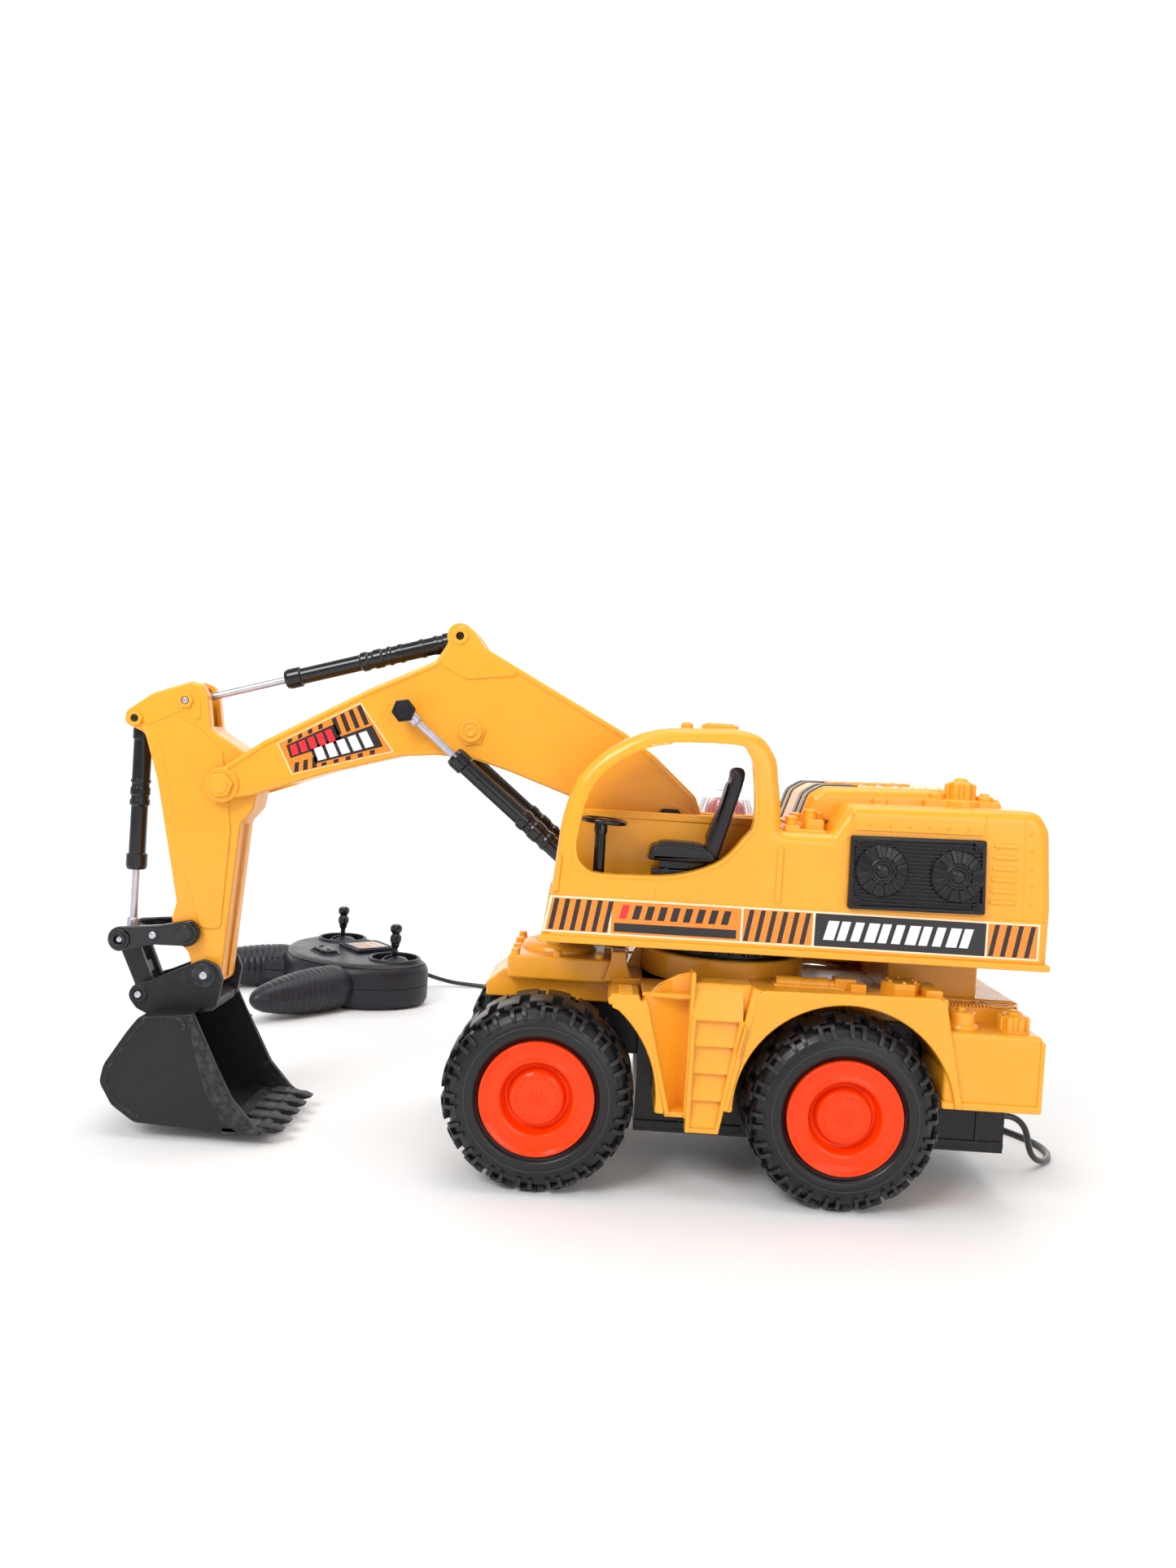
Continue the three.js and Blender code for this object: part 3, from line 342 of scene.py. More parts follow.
def evaluated(obj):
    """Apply the modifiers of an object to its mesh."""
    bpy.context.view_layer.update()
    mesh = bpy.data.meshes.new_from_object(obj.evaluated_get(bpy.context.evaluated_depsgraph_get()))
    old = obj.data
    obj.modifiers.clear()
    obj.data = mesh
    bpy.data.meshes.remove(old)


def raw(name, solid, matrix, split=False):
    mesh = bpy.data.meshes.new(name)
    mesh.from_pydata([matrix @ Vector(v) for v in solid.verts], [], solid.faces)
    obj = bpy.data.objects.new(name, mesh)
    bpy.context.scene.collection.objects.link(obj)
    tidy(mesh, split=split)
    return obj


def weigh(obj):
    """Normals that follow the large faces."""
    weighted = obj.modifiers.new("weighted", "WEIGHTED_NORMAL")
    weighted.keep_sharp = True
    weighted.weight = 80


def piece(name, solid, material, body, matrix=HOUSE, cuts=None, bevel=0.0, slot=None, replaces=(),
          sharp=50):
    """A finished piece of the model: shape, cuts, rounded edges, material and body."""
    obj = raw(name, solid, matrix, bool(cuts))
    for k, cut_solid in enumerate([cuts] if isinstance(cuts, Solid) else cuts or []):
        tool = raw(f"{name}_cut_{k}", cut_solid, matrix, True)
        cut = obj.modifiers.new("cut", "BOOLEAN")
        cut.operation, cut.object, cut.solver = "DIFFERENCE", tool, "EXACT"
        evaluated(obj)
        bpy.data.objects.remove(tool)
        tidy(obj.data, sharp, True)
    if bevel > 0:
        edge = obj.modifiers.new("edge", "BEVEL")
        edge.width, edge.segments, edge.limit_method = bevel * MM, 2, "ANGLE"
        edge.angle_limit = math.radians(35)
        edge.use_clamp_overlap = True
        evaluated(obj)
        tidy(obj.data, sharp)
    weigh(obj)
    evaluated(obj)
    obj.data.materials.clear()
    obj.data.materials.append(material)
    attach(obj, body)
    slot = SLOTS.get(material) if slot is None else slot
    if replaces:
        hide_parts(*replaces)
    return obj


# ---- materials -----------------------------------------------------------------------
def new_material(name):
    material = bpy.data.materials.new(name)
    material.use_nodes = True
    nodes, links = material.node_tree.nodes, material.node_tree.links
    shader = nodes["Principled BSDF"]
    return material, nodes, links, shader


def noise(nodes, links, place, scale, detail=4.0, rough=0.55):
    node = nodes.new("ShaderNodeTexNoise")
    node.inputs["Scale"].default_value = scale
    node.inputs["Detail"].default_value = detail
    node.inputs["Roughness"].default_value = rough
    links.new(place.outputs["Object"], node.inputs["Vector"])
    return node


def ramp(nodes, links, source, stops):
    """Colours placed along a value."""
    node = nodes.new("ShaderNodeValToRGB")
    while len(node.color_ramp.elements) < len(stops):
        node.color_ramp.elements.new(0.5)
    for element, (position, colour) in zip(node.color_ramp.elements, stops):
        element.position = position
        element.color = (*colour, 1)
    links.new(source, node.inputs["Fac"])
    return node


def mixed(nodes, links, mask, under, colour):
    """The colour laid over what is under it, where the mask is bright."""
    mix = nodes.new("ShaderNodeMix")
    mix.data_type = "RGBA"
    links.new(mask.outputs["Color"], mix.inputs["Factor"])
    links.new(under, mix.inputs["A"])
    mix.inputs["B"].default_value = (*colour, 1)
    return mix.outputs["Result"]


def grey(value):
    return (value, value, value)


DUST = (0.35, 0.35, 0.38)


def moulded(name, colour, rough=(0.3, 0.42), tint=0.06, grain=0.02, grain_scale=900, coat=0.0, specular=0.5,
            edge=None, edge_wear_and_highlight_amount=0.5, subsurface=0.0, flecks=0.0):
    """Moulded plastic: drifting colour, fine grain, flow marks in the gloss, lightened edges (worn edges,
    and on the tyre a painted highlight) and dust flecks.
    """
    material, nodes, links, shader = new_material(name)
    place = nodes.new("ShaderNodeTexCoord")
    drift = noise(nodes, links, place, 14, 3)
    dark = tuple(c * (1 - tint) for c in colour)
    light = tuple(min(1, c * (1 + tint)) for c in colour)
    tone = ramp(nodes, links, drift.outputs["Fac"], [(0.3, dark), (0.7, light)])
    out = tone.outputs["Color"]
    if flecks > 0:
        dust = noise(nodes, links, place, 1300, 2, 0.7)
        spots = ramp(nodes, links, dust.outputs["Fac"], [(0.7, grey(0)), (0.76, grey(flecks))])
        out = mixed(nodes, links, spots, out, DUST)
    # Convex edges are lightened through pointiness: worn edges on the bucket, a painted highlight on the
    # tyre.
    if edge is not None:
        geometry = nodes.new("ShaderNodeNewGeometry")
        edge_wear_and_highlight_noise = noise(nodes, links, place, 260, 5, 0.7)
        sum_node = nodes.new("ShaderNodeMath")
        sum_node.operation = "MULTIPLY_ADD"
        links.new(edge_wear_and_highlight_noise.outputs["Fac"], sum_node.inputs[0])
        sum_node.inputs[1].default_value = 0.12
        links.new(geometry.outputs["Pointiness"], sum_node.inputs[2])
        worn_and_highlit_edges = ramp(nodes, links, sum_node.outputs["Value"], [(0.6, grey(0)), (0.68, grey(edge_wear_and_highlight_amount))])
        out = mixed(nodes, links, worn_and_highlit_edges, out, edge)
    links.new(out, shader.inputs["Base Color"])
    smear = noise(nodes, links, place, 45, 5, 0.6)
    gloss = ramp(nodes, links, smear.outputs["Fac"], [(0.35, grey(rough[0])), (0.7, grey(rough[1]))])
    links.new(gloss.outputs["Color"], shader.inputs["Roughness"])
    fine = noise(nodes, links, place, grain_scale, 3, 0.6)
    bump = nodes.new("ShaderNodeBump")
    bump.inputs["Strength"].default_value = grain
    bump.inputs["Distance"].default_value = 0.0004
    links.new(fine.outputs["Fac"], bump.inputs["Height"])
    links.new(bump.outputs["Normal"], shader.inputs["Normal"])
    shader.inputs["Specular IOR Level"].default_value = specular
    shader.inputs["Coat Weight"].default_value = coat
    shader.inputs["Coat Roughness"].default_value = 0.12
    shader.inputs["Subsurface Weight"].default_value = subsurface
    if subsurface > 0:
        shader.inputs["Subsurface Radius"].default_value = (1.0, 0.45, 0.08)
        shader.inputs["Subsurface Scale"].default_value = 0.002
    return material


def metal(name, colour, rough=(0.22, 0.36), brushed=160):
    """Bright metal with fine drawing marks."""
    material, nodes, links, shader = new_material(name)
    place = nodes.new("ShaderNodeTexCoord")
    scratch = noise(nodes, links, place, brushed, 6, 0.7)
    tone = ramp(nodes, links, scratch.outputs["Fac"],
                [(0.3, tuple(c * 0.82 for c in colour)), (0.7, colour)])
    links.new(tone.outputs["Color"], shader.inputs["Base Color"])
    gloss = ramp(nodes, links, scratch.outputs["Fac"], [(0.3, grey(rough[0])), (0.7, grey(rough[1]))])
    links.new(gloss.outputs["Color"], shader.inputs["Roughness"])
    shader.inputs["Metallic"].default_value = 0.85
    return material


def clear_plastic(name):
    material, nodes, links, shader = new_material(name)
    place = nodes.new("ShaderNodeTexCoord")
    haze = noise(nodes, links, place, 300, 4)
    gloss = ramp(nodes, links, haze.outputs["Fac"], [(0.4, grey(0.04)), (0.75, grey(0.16))])
    links.new(gloss.outputs["Color"], shader.inputs["Roughness"])
    tone = ramp(nodes, links, haze.outputs["Fac"], [(0.3, (0.95, 0.95, 0.99)), (0.7, (1, 1, 1))])
    links.new(tone.outputs["Color"], shader.inputs["Base Color"])
    shader.inputs["Transmission Weight"].default_value = 0.94
    shader.inputs["IOR"].default_value = 1.35
    return material


YELLOW = moulded("yellow_abs", (0.9, 0.38, 0.022), (0.24, 0.38), 0.04, 0.05, 700, coat=0.25, specular=0.4,
                 subsurface=0.06)
ORANGE = moulded("orange_abs", (0.88, 0.044, 0.001), (0.14, 0.24), 0.05, 0.04, 500, coat=0.12,
                 specular=0.22)
BLACK = moulded("black_abs", (0.01, 0.0095, 0.012), (0.24, 0.4), 0.2, 0.06, 800, coat=0.08, specular=0.3,
                flecks=0.06)
GLOSS_BLACK = moulded("gloss_black_abs", (0.006, 0.006, 0.008), (0.12, 0.22), 0.2, 0.03, 700, coat=0.3,
                      specular=0.35)
SATIN_BLACK = moulded("satin_black_abs", (0.012, 0.0115, 0.015), (0.34, 0.48), 0.15, 0.12, 1100,
                      specular=0.35, flecks=0.06)
BUCKET_BLACK = moulded("textured_black_abs", (0.011, 0.0105, 0.013), (0.4, 0.56), 0.15, 0.5, 1500,
                       specular=0.35, edge=(0.25, 0.25, 0.28), edge_wear_and_highlight_amount=0.5, flecks=0.1)
# The lighter edge colour here is a painted highlight along the lug and bead edges of the tyre.
RUBBER = moulded("tyre_pvc", (0.008, 0.0078, 0.0085), (0.3, 0.46), 0.25, 0.12, 650, specular=0.4,
                 edge=(0.09, 0.09, 0.1), edge_wear_and_highlight_amount=0.4, flecks=0.08)
HANDSET_BLACK = moulded("handset_abs", (0.012, 0.011, 0.017), (0.3, 0.44), 0.14, 0.16, 1400, specular=0.4,
                        flecks=0.08)
CORD_BLACK = moulded("cord_pvc", (0.01, 0.01, 0.012), (0.2, 0.32), 0.15, 0.05, 900, coat=0.2)
RED = moulded("red_lamp", (0.72, 0.006, 0.03), (0.14, 0.24), 0.06, 0.02, 400, coat=0.4)
BOARD = moulded("circuit_board", (0.02, 0.16, 0.05), (0.35, 0.5), 0.25, 0.1, 900)
STICKER_ORANGE = moulded("sticker_orange", (0.86, 0.24, 0.018), (0.24, 0.34), 0.05, 0.03, 500)
STICKER_BLACK = moulded("sticker_black", (0.016, 0.013, 0.014), (0.26, 0.38), 0.2, 0.03, 500, flecks=0.15)
STICKER_CREAM = moulded("sticker_cream", (0.93, 0.75, 0.52), (0.3, 0.4), 0.03, 0.02, 500)
STICKER_WHITE = moulded("sticker_white", (0.86, 0.82, 0.9), (0.26, 0.36), 0.04, 0.02, 500)
STICKER_RED = moulded("sticker_red", (0.78, 0.02, 0.03), (0.24, 0.34), 0.05, 0.02, 500)
STICKERS = {"cream": STICKER_CREAM, "orange": STICKER_ORANGE, "black": STICKER_BLACK,
            "white": STICKER_WHITE, "red": STICKER_RED}
SILVER = metal("lavender_silver", (0.62, 0.6, 0.68))
STEEL = metal("steel", (0.6, 0.6, 0.62), (0.25, 0.4))
CLEAR = clear_plastic("clear_styrene")

# Slot names by material, which piece() looks up when the call names none; the slot found there is not
# stored on the piece.
SLOTS = {YELLOW: "yellow_plastic", ORANGE: "orange_plastic", RED: "red_plastic", CLEAR: "clear_plastic",
         BLACK: "black_plastic", GLOSS_BLACK: "black_plastic", SATIN_BLACK: "black_plastic",
         BUCKET_BLACK: "bucket_plastic", RUBBER: "tyre_rubber", HANDSET_BLACK: "handset_plastic",
         CORD_BLACK: "cord", SILVER: "silver"}
NO_SLOT = ""

# ---- camera, floor and light ---------------------------------------------------------
CAMERA_AT = HOUSE @ Vector((-68.9, -618.2, 222.5))
YAW, PITCH, ROLL = math.radians(0.9), math.radians(2.19), math.radians(3.37)


def make_camera():
    forward = Vector((-math.sin(YAW) * math.cos(PITCH), math.cos(YAW) * math.cos(PITCH), -math.sin(PITCH)))
    level = Vector((math.cos(YAW), math.sin(YAW), 0))
    up = level.cross(forward)
    right = level * math.cos(ROLL) + up * math.sin(ROLL)
    above = up * math.cos(ROLL) - level * math.sin(ROLL)
    data = bpy.data.cameras.new("camera")
    data.sensor_fit, data.sensor_width, data.sensor_height, data.lens = "AUTO", 36, 36, 26
    data.clip_start, data.clip_end = 0.01, 50
    camera = bpy.data.objects.new("camera", data)
    bpy.context.scene.collection.objects.link(camera)
    turn = Matrix((right, above, -forward)).transposed().to_4x4()
    camera.matrix_world = Matrix.Translation(CAMERA_AT) @ turn
    bpy.context.scene.camera = camera


def area_light(name, place, target, size, power, colour=(1, 1, 1)):
    data = bpy.data.lights.new(name, "AREA")
    data.shape, data.size, data.size_y = "RECTANGLE", size[0], size[1]
    data.energy, data.color = power, colour
    light = bpy.data.objects.new(name, data)
    bpy.context.scene.collection.objects.link(light)
    light.location = place
    light.rotation_mode = "QUATERNION"
    light.rotation_quaternion = (Vector(target) - Vector(place)).to_track_quat("-Z", "Y")


def studio():
    """A round floor that sweeps up into a wall on every side, so no horizon shows."""
    bend, back, height, turns = 2.0, 3.4, 5.0, 96
    line = [(0.6, 0.0), (2.0, 0.0), (back, 0.0)]
    line += [(back + bend * math.sin(math.pi / 2 * k / 24), bend * (1 - math.cos(math.pi / 2 * k / 24)))
             for k in range(1, 25)]
    line.append((back + bend, height + bend))
    verts = [(0, 0, 0)] + [(r * math.cos(TURN * k / turns), r * math.sin(TURN * k / turns), z)
                           for r, z in line for k in range(turns)]
    faces = [[0, 1 + k, 1 + (k + 1) % turns] for k in range(turns)]
    for i in range(len(line) - 1):
        low = 1 + i * turns
        faces += [[low + k, low + turns + k, low + turns + (k + 1) % turns,
                   low + (k + 1) % turns] for k in range(turns)]
    mesh = bpy.data.meshes.new("floor")
    mesh.from_pydata(verts, [], faces)
    for polygon in mesh.polygons:
        polygon.use_smooth = True
    floor = bpy.data.objects.new("floor", mesh)
    bpy.context.scene.collection.objects.link(floor)
    material, nodes, links, shader = new_material("floor_paper")
    place = nodes.new("ShaderNodeTexCoord")
    paper = noise(nodes, links, place, 6, 3)
    tone = ramp(nodes, links, paper.outputs["Fac"], [(0.3, grey(0.86)), (0.7, grey(0.88))])
    links.new(tone.outputs["Color"], shader.inputs["Base Color"])
    shader.inputs["Roughness"].default_value = 0.9
    shader.inputs["Specular IOR Level"].default_value = 0.1
    mesh.materials.append(material)
    world = bpy.data.worlds.new("world")
    bpy.context.scene.world = world
    world.use_nodes = True
    world.node_tree.nodes["Background"].inputs["Color"].default_value = (1, 1, 1, 1)
    world.node_tree.nodes["Background"].inputs["Strength"].default_value = 0.5
    area_light("key", (-0.7, -1.3, 1.2), (0.05, -0.1, 0.12), (0.8, 0.6), 16)
    area_light("top", (0.2, -0.1, 1.6), (0.05, 0, 0.1), (1.4, 1.0), 11)
    area_light("front", (0.7, -1.5, 0.5), (0.05, -0.15, 0.12), (0.9, 0.7), 5, (1.0, 0.98, 1.0))
    area_light("wall_wash", (0, 1.7, 3.2), (0, 4.6, 1.3), (5.0, 1.2), 190)


make_camera()
studio()
bpy.context.scene.view_settings.view_transform = "Standard"

# ---- cord ------------------------------------------------------------------------------
CORD_DIAMETER = 3.5
COIL = (70.0, 128.0)
COIL_TURNS = 4
COIL_RADIUS, COIL_SWING = 20.2, 1.9  # radius of the turns and how far they sway in and out
COIL_LEVEL, COIL_RISE = 1.9, 3.5  # height of the lower turns and of the upper ones over them
COIL_STEPS = 16
CORD_START = [
    (158.8, 0, 30.5), (163.5, 0, 30.3), (168, 0.2, 28.4), (171.6, 0.6, 24.6), (173.8, 1.2, 19.5),
    (175.4, 2.2, 14), (178, 4, 8.8), (182.4, 7.4, 4.8), (188, 12.6, 2.5), (193.5, 20, 1.9),
    (196.5, 30, 1.9), (195.5, 42, 1.9), (190, 55, 1.9), (180.5, 68, 1.9), (168, 80, 1.9), (152, 90, 1.9),
    (134, 99, 1.9), (115, 104, 1.9), (96, 105, 1.9)]
CORD_END = [
    (44, 151, 1.9), (34, 160, 1.9), (18, 175, 1.9), (-2, 197, 1.9), (-24, 226, 1.9), (-48, 260, 1.9),
    (-74, 295, 1.9), (-102, 327, 1.9), (-132, 352, 1.9), (-162, 366, 1.9), (-190, 367.5, 3.4),
    (-206, 361, 8), (-216, 353.5, 13), (-222.5, 348.2, 16), (-226.5, 344.9, 17)]


def coil_points():
    """Turns of the coil from the end of the first stretch to the start of the last one."""
    x_in, y_in = CORD_START[-1][0] - COIL[0], CORD_START[-1][1] - COIL[1]
    x_out, y_out = CORD_END[0][0] - COIL[0], CORD_END[0][1] - COIL[1]
    start, end = math.atan2(y_in, x_in), math.atan2(y_out, x_out)
    sweep = (end - start) % TURN - TURN * COIL_TURNS - TURN
    r_in, r_out = math.hypot(x_in, y_in), math.hypot(x_out, y_out)
    count = COIL_STEPS * (COIL_TURNS + 1)
    points = []
    for k in range(2, count - 1):
        t = k / count
        angle = start + sweep * t
        turn = -sweep * t / TURN
        ring = COIL_RADIUS + COIL_SWING * math.cos(math.pi * turn)
        lead = min(1, t * count / 10)
        trail = min(1, (1 - t) * count / 10)
        radius = r_in + (ring - r_in) * lead if lead < 1 else ring
        radius = r_out + (radius - r_out) * trail if trail < 1 else radius
        level = COIL_LEVEL + COIL_RISE * min(1, max(0, (turn - 1.6) / 0.8)) * min(1, max(0, trail))
        points.append((COIL[0] + radius * math.cos(angle), COIL[1] + radius * math.sin(angle), level))
    return points


def make_cord():
    route = CORD_START + coil_points() + CORD_END
    curve = bpy.data.curves.new("cord", "CURVE")
    curve.dimensions = "3D"
    curve.bevel_depth = CORD_DIAMETER / 2 * MM
    curve.bevel_resolution = 4
    curve.use_fill_caps = True
    spline = curve.splines.new("POLY")
    smooth = []
    for i in range(len(route) - 1):
        p = [Vector(route[max(0, min(len(route) - 1, i + k - 1))]) for k in range(4)]
        smooth += [spline_point(p, k / 4) for k in range(4)]
    smooth.append(Vector(route[-1]))
    points = [HOUSE @ p for p in smooth]
    spline.points.add(len(points) - 1)
    for target, point in zip(spline.points, points):
        target.co = (*point, 1)
    spline.use_smooth = True
    cord = bpy.data.objects.new("cord", curve)
    bpy.context.scene.collection.objects.link(cord)
    curve.materials.append(CORD_BLACK)
    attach(cord, "chassis")
    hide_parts("cord_from_chassis", "cord_coil", "cord_to_handset")
    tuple(points[0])


make_cord()


# ---- wheels ---------------------------------------------------------------------------
LUGS = 18
TYRE_MIDDLE, TREAD_R = 57.25, 46  # distance from the car's middle, radius the tread is laid out on
LUG_COLUMNS, LUG_GAPS = (-4.3, -1.9, 1.9, 4.3), {(0, 1), (1, 1), (2, 1)}
BLOCK_COLUMNS, BLOCK_GAPS = (-5.6, -2, 2, 5.6), {(0, 0), (0, 2)}
LUG_TOP = [(39.4, 77.3), (41.4, 76.9), (43.4, 75.9), (45.0, 74.2), (45.9, 72.6)]
LUG_BASE = [(39.0, 75.6), (40.6, 74.8), (42.2, 73.6), (43.4, 72.4), (44.2, 71.2)]
BLOCK_TOP = [(45.8, 73.4), (47.0, 71.6), (47.5, 69.0), (47.5, 63.0), (47.5, 57.6)]
BLOCK_BASE = [(44.0, 71.6), (44.2, 70.0), (44.3, 68.0), (44.3, 63.0), (44.3, 57.6)]


def cells(solid, top, base, columns, absent, start, matrix, mirror=False):
    """Raised cells on the tyre: rows run over the shoulder, columns round it."""
    def at(point, t):
        r, h = point
        h = 2 * TYRE_MIDDLE - h if mirror else h
        angle = start + t / TREAD_R
        return matrix @ Vector((r * math.cos(angle), r * math.sin(angle), h))
    rows, cols = len(top) - 1, len(columns) - 1
    verts, ids, faces = [], {}, []

    def vertex(kind, i, j):
        key = (kind, i, j)
        if key not in ids:
            ids[key] = len(verts)
            verts.append(at((top if kind else base)[i], columns[j]))
        return ids[key]
    solidity = {(i, j) for i in range(rows) for j in range(cols) if (i, j) not in absent}
    for i, j in solidity:
        corners = [(i, j), (i + 1, j), (i + 1, j + 1), (i, j + 1)]
        faces.append([vertex(1, *c) for c in corners])
        faces.append([vertex(0, *c) for c in corners][::-1])
        for (a, b), other in zip(zip(corners, corners[1:] + corners[:1]),
                                 [(i, j - 1), (i + 1, j), (i, j + 1), (i - 1, j)]):
            if other not in solidity:
                faces.append([vertex(1, *b), vertex(1, *a), vertex(0, *a), vertex(0, *b)])
    solid.add(verts, faces)


def tyre(x, side):
    frame_at = about_y(x, WHEEL_Z, 0, side)
    solid = Solid()
    carcass = [(28.6, 38.4), (30.4, 37.3), (36, 37), (41, 38.6), (44.2, 43), (44.6, 48), (44.6, 68),
               (44.2, 71), (42.6, 73.8), (40, 75.8), (37, 76.9), (33.6, 77.4), (31.8, 77.2), (30.7, 76.5),
               (30.1, 75.3), (28.6, 74.8)]
    solid.lathe(soften(carcass, 1.5, 3), frame_at, 120)
    solid.lathe([(34.9, 76.4), (35.9, 76.4), (35.65, 77.45), (35.15, 77.45)], frame_at, 120)
    detail = Solid()
    for k in range(LUGS):
        angle = TURN * (k + 0.25) / LUGS
        for start, mirror in ((angle, False), (angle + math.pi / LUGS, True)):
            cells(detail, LUG_TOP, LUG_BASE, LUG_COLUMNS, LUG_GAPS, start, frame_at, mirror)
            cells(detail, BLOCK_TOP, BLOCK_BASE, BLOCK_COLUMNS, BLOCK_GAPS, start + 0.1, frame_at, mirror)
    return solid, detail


def dome(solid, x, y, radius, height, base, frame_at, segments=12):
    """Small round bump standing on the frame's plane at height base."""
    steps = 4
    profile = [(0, base - 0.4), (radius, base - 0.4)]
    profile += [(radius * math.cos(math.pi / 2 * k / steps),
                 base + height * math.sin(math.pi / 2 * k / steps))
                for k in range(steps)]
    profile.append((0, base + height))
    solid.lathe(profile, frame_at @ upright(x, y), segments)


def dome_ring(solid, x, y, ring, count, radius, height, base, frame_at, start=0.0):
    """Round bumps standing at equal steps on a circle about [x, y]."""
    for k in range(count):
        angle = TURN * k / count + start
        dome(solid, x + ring * math.cos(angle), y + ring * math.sin(angle), radius, height, base, frame_at)


def rim(x, side):
    frame_at = about_y(x, WHEEL_Z, 0, side)
    profile = [
        (0, 75.2), (7, 75.15), (11.6, 74.9), (12.9, 74.2), (13.5, 72.8), (13.8, 70.4), (14.6, 69.3),
        (15.8, 69.5), (16.8, 71.4), (17.4, 74.4), (18.0, 75.7), (19.2, 76.2), (20.6, 75.8), (23.0, 75.6),
        (25.6, 76.2), (27.2, 77.1), (28.1, 77.0), (28.35, 76.0), (28.3, 40.2), (27.6, 39.2), (26.6, 39.4),
        (26.2, 41), (26.1, 66), (25, 68), (10, 68), (8.6, 67), (8.1, 46), (7.6, 44.2), (3.4, 44.1),
        (2.8, 44.8), (2.8, 69), (0, 69.6)]
    solid = Solid().lathe(soften(profile, 0.6, 3), frame_at, 128)
    dome_ring(solid, 0, 0, 10.3, 20, 0.8, 0.7, 75.0, frame_at)
    dome_ring(solid, 0, 0, 3.6, 6, 1.15, 0.8, 75.15, frame_at, 0.2)
    dome(solid, 0, 0, 1.15, 0.8, 75.2, frame_at)
    return solid


def wheels():
    for place, x in WHEELS.items():
        for word, side in SIDES:
            body = f"front_wheel_{word}" if place == "front" else "rear_axle_set"
            carcass, detail = tyre(x, side)
            piece(f"{place}_{word}_tyre_body", carcass, RUBBER, body, sharp=50,
                  replaces=[f"{place}_tyre_{word}"])
            piece(f"{place}_{word}_tyre_lugs", detail, RUBBER, body, bevel=0.3,
                  sharp=35)
            piece(f"{place}_{word}_rim_disc", rim(x, side), ORANGE, body,
                  replaces=[f"{place}_rim_{word}"])


# ---- chassis ----------------------------------------------------------------------------
FRONT_ARCH = arc(WHEELS["front"], WHEEL_Z, 58, 50, -5, 12)
REAR_ARCH = arc(WHEELS["rear"], WHEEL_Z, 54, 182, 7, 40)


def curved_panel(left_low, left_high, right_x, y_edge, depth, z_low, top):
    """Hollow of the side wall between the front guard and the ladder."""
    columns, rows, thick = 14, 10, 2.4
    front = []
    for j in range(rows + 1):
        for i in range(columns + 1):
            u = i / columns
            z_top = top(u)
            z = z_low + (z_top - z_low) * j / rows
            (x0, z0), (x1, z1) = left_low, left_high
            x_left = max(x1, x0 + (x1 - x0) * (z - z0) / (z1 - z0))
            front.append((x_left + (right_x - x_left) * u,
                          -(y_edge - depth * math.sin(math.pi / 2 * u) ** 1.1), z))
    back = [(x, y + thick, z) for x, y, z in front]
    verts, faces, n, w = front + back, [], len(front), columns + 1
    for j in range(rows):
        for i in range(columns):
            a = j * w + i
            faces.append([a, a + 1, a + w + 1, a + w])
            faces.append([n + a, n + a + w, n + a + w + 1, n + a + 1])
    border = ([(i, 0) for i in range(columns)] + [(columns, j) for j in range(rows)]
              + [(i, rows) for i in range(columns, 0, -1)] + [(0, j) for j in range(rows, 0, -1)])
    ids = [j * w + i for i, j in border]
    for a, b in zip(ids, ids[1:] + ids[:1]):
        faces.append([b, a, n + a, n + b])
    return verts, faces


